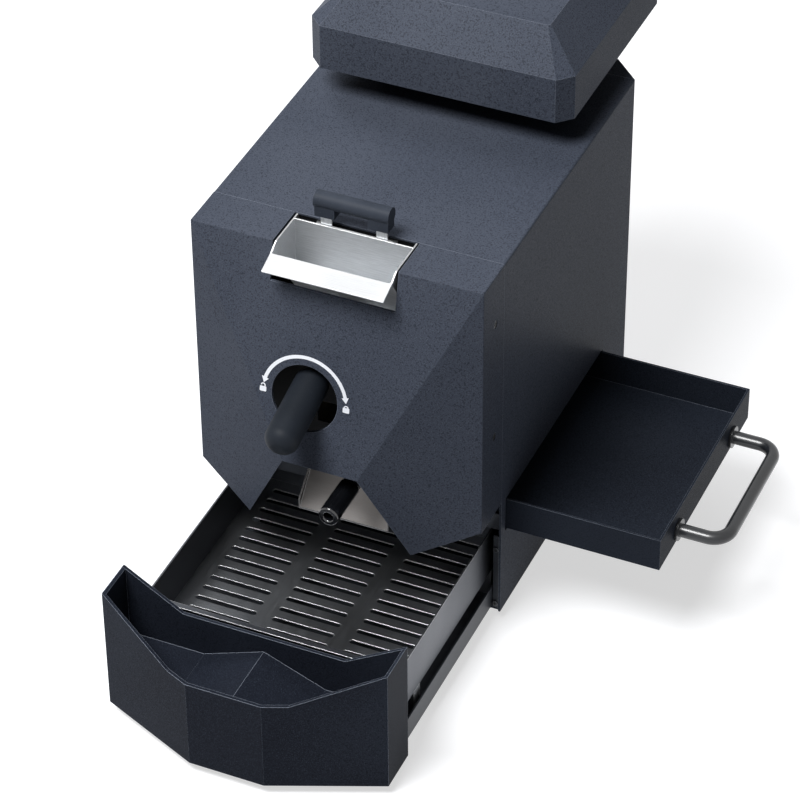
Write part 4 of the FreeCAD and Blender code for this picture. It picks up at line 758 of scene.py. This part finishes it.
class ROASTER_OT_finish_controls(FinishStep, bpy.types.Operator):
    """Finishes the knobs, the push button, the readout's window, the board and the switches"""
    bl_idname = "roaster.finish_controls"
    bl_label = "Finish Controls"

    def finish(self, chosen):
        dress(worn_surface("knob_plastic", chosen.plastic, "#5a5e66", amount=0.12, dull=0.34,
                           depth=0.15, highlight_share=0.4), *KNOBS, "power_button")
        dress(worn_surface("window_glass", "#050608", "#2a2d33", amount=0.06, dull=0.05,
                           depth=0.01, highlight_share=0.3, Coat_Weight=1.0, Coat_Roughness=0.03),
              "display_window")
        dress(board_surface("board_mask", chosen.copper), "control_board")
        dress(worn_surface("switch_plastic", chosen.moulding, "#4a4e55", amount=0.2, dull=0.45),
              "panel_switches")


class ROASTER_OT_finish_rear(FinishStep, bpy.types.Operator):
    """Finishes the fans, the smoke spigot, the mains inlet and the rocker"""
    bl_idname = "roaster.finish_rear"
    bl_label = "Finish Rear"

    def finish(self, chosen):
        dress(worn_surface("fan_plastic", chosen.moulding, "#494d54", amount=0.25, dull=0.42,
                           depth=0.2),
              "cooling_fan_frame", "exhaust_fan_frame", "cooling_fan_impeller",
              "exhaust_fan_impeller", "mains_inlet", "switch_frame")
        dress(brushed_sheet("spigot_steel", chosen.steel, "y"), "exhaust_spigot")
        dress(worn_surface("rocker_gloss", chosen.gloss, "#3c4048", amount=0.1, dull=0.14,
                           depth=0.05, highlight_share=0.4, Coat_Weight=0.6), "mains_rocker")


def centre_panel():
    """The front cover's leaning centre panel, with its origin at the lever's pivot."""
    in_front = -300 * MM
    probe_reach = 1.15
    marks = bpy.context.scene.roaster_marks
    pivot = MACHINE_ORIGIN + Vector((marks.pivot_x, in_front, marks.pivot_z))
    side = Vector((marks.arc_radius * probe_reach, 0, 0))
    rise = Vector((0, 0, marks.arc_radius * probe_reach))
    backward = (0, 1, 0)
    right = struck("front_cover", pivot + side, backward)
    left = struck("front_cover", pivot - side, backward)
    above = struck("front_cover", pivot + side + rise, backward)
    middle = (right + left) / 2
    return Surface(middle, right - left, above - right)


class ROASTER_OT_print_lock_marks(bpy.types.Operator):
    """Prints the lever's arc, its two arrowheads and the open and closed padlocks"""
    bl_idname = "roaster.print_lock_marks"
    bl_label = "Print Lock Marks"

    def execute(self, context):
        tip_angle, arc_steps, lock_drop = 8.0, 36, 0.12
        marks = context.scene.roaster_marks
        panel = centre_panel()
        ink = ink_surface("panel_ink", settings().ink)
        base_angle = tip_angle + math.degrees(marks.head_length / marks.arc_radius)
        outlines = [
            band(marks.arc_radius, marks.arc_width, base_angle, 180 - base_angle, arc_steps)]
        for side in (1, -1):
            corners = []
            for angle, out in ((base_angle, marks.head_width / 2),
                               (base_angle, -marks.head_width / 2), (tip_angle, 0)):
                turn = math.radians(angle)
                reach = marks.arc_radius + out
                corners.append((side * reach * math.cos(turn), reach * math.sin(turn)))
            outlines.append(corners)
        add_plates(
            "lever_arc_print", outlines, panel, marks.ink_depth, ink, "case")
        for name, side, is_open in (("locked_print", 1, False), ("unlocked_print", -1, True)):
            place = (side * marks.arc_radius, -marks.lock_width * lock_drop)
            add_plates(name, padlock(place, marks.lock_width, is_open), panel, marks.ink_depth,
                       ink, "case")
        return {"FINISHED"}


# Corners of the dials' symbols, as shares of the symbol's size
FLAME = ((0, 1), (0.55, 0.1), (0.45, -0.55), (0, -0.85), (-0.45, -0.55), (-0.55, 0.1))
TURN_ARROW = ((0.45, 0.55), (1.15, 0.5), (0.85, 1.1))


def sized(corners, size):
    return [(size * a, size * b) for a, b in corners]


def dial_symbol(knob, size):
    """Outlines of a plain symbol for what a knob sets."""
    if knob == "power_knob":
        return [sized(FLAME, size)]
    if knob == "airflow_knob":
        stroke, levels = size * 0.22, (0.6, 0.0, -0.6)
        return [bar((-size, size * level), (size, size * level), stroke) for level in levels]
    if knob == "cooling_knob":
        strokes = []
        for turn in (0, 60, 120):
            away = Vector((math.cos(math.radians(turn)), math.sin(math.radians(turn)))) * size
            strokes.append(bar(-away, away, size * 0.2))
        return strokes
    radius, stroke, start, end, steps = size * 0.8, size * 0.24, 40, 340, 18
    return [band(radius, stroke, start, end, steps), sized(TURN_ARROW, size)]


class ROASTER_OT_print_dials(bpy.types.Operator):
    """Prints a ring of ticks and a symbol for each knob, and a pointer on the knob itself"""
    bl_idname = "roaster.print_dials"
    bl_label = "Print Dials"

    def execute(self, context):
        marks = context.scene.roaster_marks
        ink = ink_surface("dial_ink", settings().ink)
        for knob in KNOBS:
            self.print_ticks(knob, marks, ink)
            self.print_symbol(knob, marks, ink)
            self.print_pointer(knob, marks, ink)
        self.print_button(marks, ink)
        return {"FINISHED"}

    def print_ticks(self, knob, marks, ink):
        short_tick = 0.6
        low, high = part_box(knob)
        centre = (low + high) / 2
        start = (high.x - low.x) / 2 + marks.tick_gap
        outlines = []
        for tick in range(marks.ticks):
            angle = math.pi / 2 + marks.sweep / 2 - marks.sweep * tick / (marks.ticks - 1)
            away = Vector((math.cos(angle), math.sin(angle)))
            is_long = tick in (0, marks.ticks // 2, marks.ticks - 1)
            reach = marks.tick_length * (1.0 if is_long else short_tick)
            outlines.append(bar(away * start, away * (start + reach), marks.tick_width))
        add_plates(knob + "_ticks", outlines, level_surface(centre.x, centre.y, HEAD_TOP),
                   marks.ink_depth, ink, "case")

    def print_symbol(self, knob, marks, ink):
        low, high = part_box(knob)
        place = level_surface((low.x + high.x) / 2, low.y - marks.symbol_gap, HEAD_TOP)
        add_plates(knob + "_symbol", dial_symbol(knob, marks.symbol_size), place,
                   marks.ink_depth, ink, "case")

    def print_pointer(self, knob, marks, ink):
        inner_end, outer_end = 0.25, 0.82
        low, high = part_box(knob)
        radius = (high.x - low.x) / 2
        line = bar((0, radius * inner_end), (0, radius * outer_end), marks.pointer_width)
        self.print_cap(knob + "_pointer", [line], knob, marks, ink)

    def print_button(self, marks, ink):
        """The usual broken ring with a bar, for on and off."""
        ring_radius, stroke, bar_foot, bar_top = 0.45, 0.12, 0.2, 0.62
        gap_end, gap_start, ring_steps = 120, 420, 20
        low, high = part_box("power_button")
        size = (high.x - low.x) / 2
        outlines = [
            band(size * ring_radius, size * stroke, gap_end, gap_start, ring_steps),
            bar((0, size * bar_foot), (0, size * bar_top), size * stroke)]
        self.print_cap("button_symbol", outlines, "power_button", marks, ink)

    def print_cap(self, name, outlines, body, marks, ink):
        """Ink on the top of a knob or button, which it stands out of by a share."""
        proud = 0.6
        low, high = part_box(body)
        cap = level_surface((low.x + high.x) / 2, (low.y + high.y) / 2, high.z)
        add_plates(name, outlines, cap, -marks.ink_depth, ink, body,
                   marks.ink_depth * proud)


READING = "205"
SEGMENTS = {"0": "abcdef", "2": "abged", "5": "afgcd"}


def digit_outlines(sign, x, y, width, height, line):
    """Outlines of one seven-segment digit."""
    end_gap = 0.65
    half = height / 2
    right, middle, top = x + width, y + half, y + height
    ends = {
        "a": ((x, top), (right, top)),
        "b": ((right, middle), (right, top)),
        "c": ((right, y), (right, middle)),
        "d": ((x, y), (right, y)),
        "e": ((x, y), (x, middle)),
        "f": ((x, middle), (x, top)),
        "g": ((x, middle), (right, middle)),
    }
    outlines = []
    for segment in SEGMENTS[sign]:
        start, end = (Vector(point) for point in ends[segment])
        inset = (end - start).normalized() * line * end_gap
        outlines.append(bar(start + inset, end - inset, line))
    return outlines


class ROASTER_OT_light_readout(bpy.types.Operator):
    """Lights a plain three-digit readout and a row of lamps in the head's window"""
    bl_idname = "roaster.light_readout"
    bl_label = "Light Readout"

    def execute(self, context):
        marks = context.scene.roaster_marks
        low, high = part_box("display_window")
        face = level_surface(low.x, low.y, high.z)
        width, height = high.x - low.x, high.y - low.y
        lit = lit_surface("readout_light", settings().readout)
        for name, outlines in (("readout_digits", self.digits(width, height)),
                               ("readout_lamps", self.lamps(width, height))):
            add_plates(name, outlines, face, marks.light_depth, lit, "case",
                       -marks.light_sink)
        return {"FINISHED"}

    def digits(self, width, height):
        """Outlines of the reading, from shares of the window and of a digit's height."""
        left, foot, pitch = width * 0.22, height * 0.36, 1.9
        digit_height = height * 0.42
        digit_width = digit_height * 0.52
        line = digit_height * 0.11
        outlines = []
        for place, sign in enumerate(READING):
            outlines += digit_outlines(
                sign, left + place * digit_width * pitch, foot, digit_width, digit_height, line)
        return outlines

    def lamps(self, width, height):
        """Outlines of the lamps under the reading, spread over the window's width."""
        count, first, pitch, level = 5, 0.2, 0.15, 0.16
        half_width, half_height, corner = 1.6 * MM, 0.8 * MM, 0.4 * MM
        return [
            rounded(half_width, half_height, corner,
                    (width * (first + pitch * place), height * level))
            for place in range(count)]


class ROASTER_OT_stamp_screws(bpy.types.Operator):
    """Paints the shade of the cross recess on the face of every case screw, as thin dark crosses
    """
    bl_idname = "roaster.stamp_screws"
    bl_label = "Stamp Screws"

    def execute(self, context):
        arm, stroke = 0.55, 0.22
        depth = context.scene.roaster_marks.recess_depth
        # Painted shade: near-black crosses stand for the shadow inside each screw's recess
        dark = worn_surface("recess_shadow", "#050506", "#1c1d20", amount=0.2, dull=0.7)
        for number, (low, high) in enumerate(islands("case_screws"), 1):
            plate, radius = self.head_face(low, high)
            reach, line = radius * arm, radius * stroke
            strokes = [bar((-reach, 0), (reach, 0), line), bar((0, -reach), (0, reach), line)]
            add_plates(f"screw_recess_{number}", strokes, plate, depth, dark, "case")
        return {"FINISHED"}

    def head_face(self, low, high):
        """The outer face of a screw's head, and its radius, from the corners of its box."""
        middle = (CASE_LOW + CASE_HIGH) / 2
        size = high - low
        centre = (low + high) / 2
        # A screw is as broad one way as the other, and its axis is the third
        unlike = {0: abs(size.y - size.z), 1: abs(size.x - size.z), 2: abs(size.x - size.y)}
        axis = min(unlike, key=unlike.get)
        outward = Vector((0, 0, 0))
        outward[axis] = 1.0 if centre[axis] > middle[axis] else -1.0
        face = centre.copy()
        face[axis] = high[axis] if outward[axis] > 0 else low[axis]
        up = Vector((0, 0, 1)) if axis != 2 else Vector((0, 1, 0))
        radius = max(size[(axis + 1) % 3], size[(axis + 2) % 3]) / 2
        return Surface(face, up.cross(outward), up), radius


def seen_directly(tree):
    """One for rays from the camera, a mirror or glass, and nought for the light on surfaces."""
    paths = tree.nodes.new("ShaderNodeLightPath")
    seen = math_node(
        tree, "MAXIMUM", paths.outputs["Is Camera Ray"], paths.outputs["Is Glossy Ray"])
    return math_node(tree, "MAXIMUM", seen, paths.outputs["Is Transmission Ray"])


class ROASTER_OT_make_stage(bpy.types.Operator):
    """Sets the pale floor, the soft lights, the room light and the camera"""
    bl_idname = "roaster.make_stage"
    bl_label = "Make Stage"

    def execute(self, context):
        stage = context.scene.roaster_stage
        self.lay_floor(stage)
        self.hang_light("key_light", stage.key_place, stage.key_size, stage.key_power,
                        stage.target, glints=True)
        self.hang_light("back_light", stage.back_place, stage.back_size, stage.back_power,
                        stage.target, glints=False)
        self.fill_room(context.scene, stage)
        self.place_camera(context.scene, stage)
        context.scene.view_settings.view_transform = "Standard"
        return {"FINISHED"}

    def lay_floor(self, stage):
        """A wide paper floor that shows a glow of its own but casts no light."""
        shape = bmesh.new()
        bmesh.ops.create_grid(shape, x_segments=1, y_segments=1, size=stage.floor_size / 2)
        mesh = bpy.data.meshes.new("studio_floor")
        shape.to_mesh(mesh)
        shape.free()
        floor = bpy.data.objects.new("studio_floor", mesh)
        floor.location.z = CAD_BOX[0][2] - stage.floor_gap
        bpy.context.scene.collection.objects.link(floor)
        finish = Finish("floor_paper", Roughness=0.9)
        tree = finish.tree
        paper = share_of(tree, noise_node(tree, scale=3.0, detail=2.0), share=0.04)
        tone = mix_node(tree, paper, opaque(stage.floor), opaque("#afb0b4"))
        finish.feed(tone, "Base Color")
        glow = tree.nodes.new("ShaderNodeEmission")
        glow.inputs["Color"].default_value = (1, 1, 1, 1)
        strength = share_of(tree, seen_directly(tree), stage.floor_glow)
        tree.links.new(strength, glow.inputs["Strength"])
        both = tree.nodes.new("ShaderNodeAddShader")
        tree.links.new(finish.shader.outputs["BSDF"], both.inputs[0])
        tree.links.new(glow.outputs["Emission"], both.inputs[1])
        tree.links.new(both.outputs["Shader"], tree.nodes["Material Output"].inputs["Surface"])
        mesh.materials.append(finish.material)

    def hang_light(self, name, place, size, power, target, glints):
        """A round soft light that points at the target and may be kept out of reflections."""
        lamp = bpy.data.lights.new(name, "AREA")
        lamp.shape = "DISK"
        lamp.size = size
        lamp.energy = power
        light = bpy.data.objects.new(name, lamp)
        light.location = place
        light.visible_glossy = glints
        aim = Vector(target) - Vector(place)
        light.rotation_euler = aim.to_track_quat("-Z", "Y").to_euler()
        bpy.context.scene.collection.objects.link(light)

    def fill_room(self, scene, stage):
        """Even light from all sides, white where it is seen and faint where it lights."""
        world = bpy.data.worlds.new("studio_room")
        world.use_nodes = True
        scene.world = world
        tree = world.node_tree
        background = tree.nodes["Background"]
        background.inputs["Color"].default_value = (1, 1, 1, 1)
        strength = ramp_node(tree, seen_directly(tree), low=0.0, high=1.0,
                             to_low=stage.world_level, to_high=1.0)
        tree.links.new(strength, background.inputs["Strength"])

    def place_camera(self, scene, stage):
        """The camera that took the photo, from its place, its three angles and its lens."""
        turn, rise, roll = stage.azimuth, stage.elevation, stage.roll
        back = Vector(
            (math.sin(turn) * math.cos(rise), -math.cos(turn) * math.cos(rise), math.sin(rise)))
        right = Vector((math.cos(turn), math.sin(turn), 0))
        up = back.cross(right)
        across = right * math.cos(roll) + up * math.sin(roll)
        upright = up * math.cos(roll) - right * math.sin(roll)
        lens = bpy.data.cameras.new("photo_camera")
        lens.lens = stage.lens
        lens.sensor_width = stage.sensor
        camera = bpy.data.objects.new("photo_camera", lens)
        turned = Matrix((across, upright, back)).transposed().to_4x4()
        camera.matrix_world = Matrix.Translation(Vector(stage.camera_place)) @ turned
        scene.collection.objects.link(camera)
        scene.camera = camera


OPERATORS = (
    ROASTER_OT_coat_cabinet,
    ROASTER_OT_finish_drawers,
    ROASTER_OT_finish_chute,
    ROASTER_OT_finish_drum,
    ROASTER_OT_finish_drive,
    ROASTER_OT_finish_hand_parts,
    ROASTER_OT_finish_controls,
    ROASTER_OT_finish_rear,
    ROASTER_OT_print_lock_marks,
    ROASTER_OT_print_dials,
    ROASTER_OT_light_readout,
    ROASTER_OT_stamp_screws,
    ROASTER_OT_make_stage,
)


class ROASTER_PT_panel(bpy.types.Panel):
    """Lists the roaster's steps and settings"""
    bl_idname = "ROASTER_PT_panel"
    bl_label = "Coffee Roaster"
    bl_space_type = "VIEW_3D"
    bl_region_type = "UI"
    bl_category = "Roaster"

    def draw(self, context):
        layout = self.layout
        for operator in OPERATORS:
            layout.operator(operator.bl_idname)
        for name in HOLDERS:
            holder = getattr(context.scene, name)
            box = layout.box()
            for setting in holder.bl_rna.properties:
                if not setting.is_readonly and setting.identifier != "name":
                    box.prop(holder, setting.identifier)


HOLDERS = {
    "roaster_finish": RoasterFinishSettings,
    "roaster_marks": RoasterMarkSettings,
    "roaster_stage": RoasterStageSettings,
}
CLASSES = (*HOLDERS.values(), *OPERATORS, ROASTER_PT_panel)


def register():
    for item in CLASSES:
        bpy.utils.register_class(item)
    for name, holder in HOLDERS.items():
        setattr(bpy.types.Scene, name, bpy.props.PointerProperty(type=holder))


def unregister():
    for name in HOLDERS:
        delattr(bpy.types.Scene, name)
    for item in reversed(CLASSES):
        bpy.utils.unregister_class(item)


def main():
    register()
    for operator in OPERATORS:
        group, name = operator.bl_idname.split(".")
        getattr(getattr(bpy.ops, group), name)()


if __name__ == "__main__":
    main()
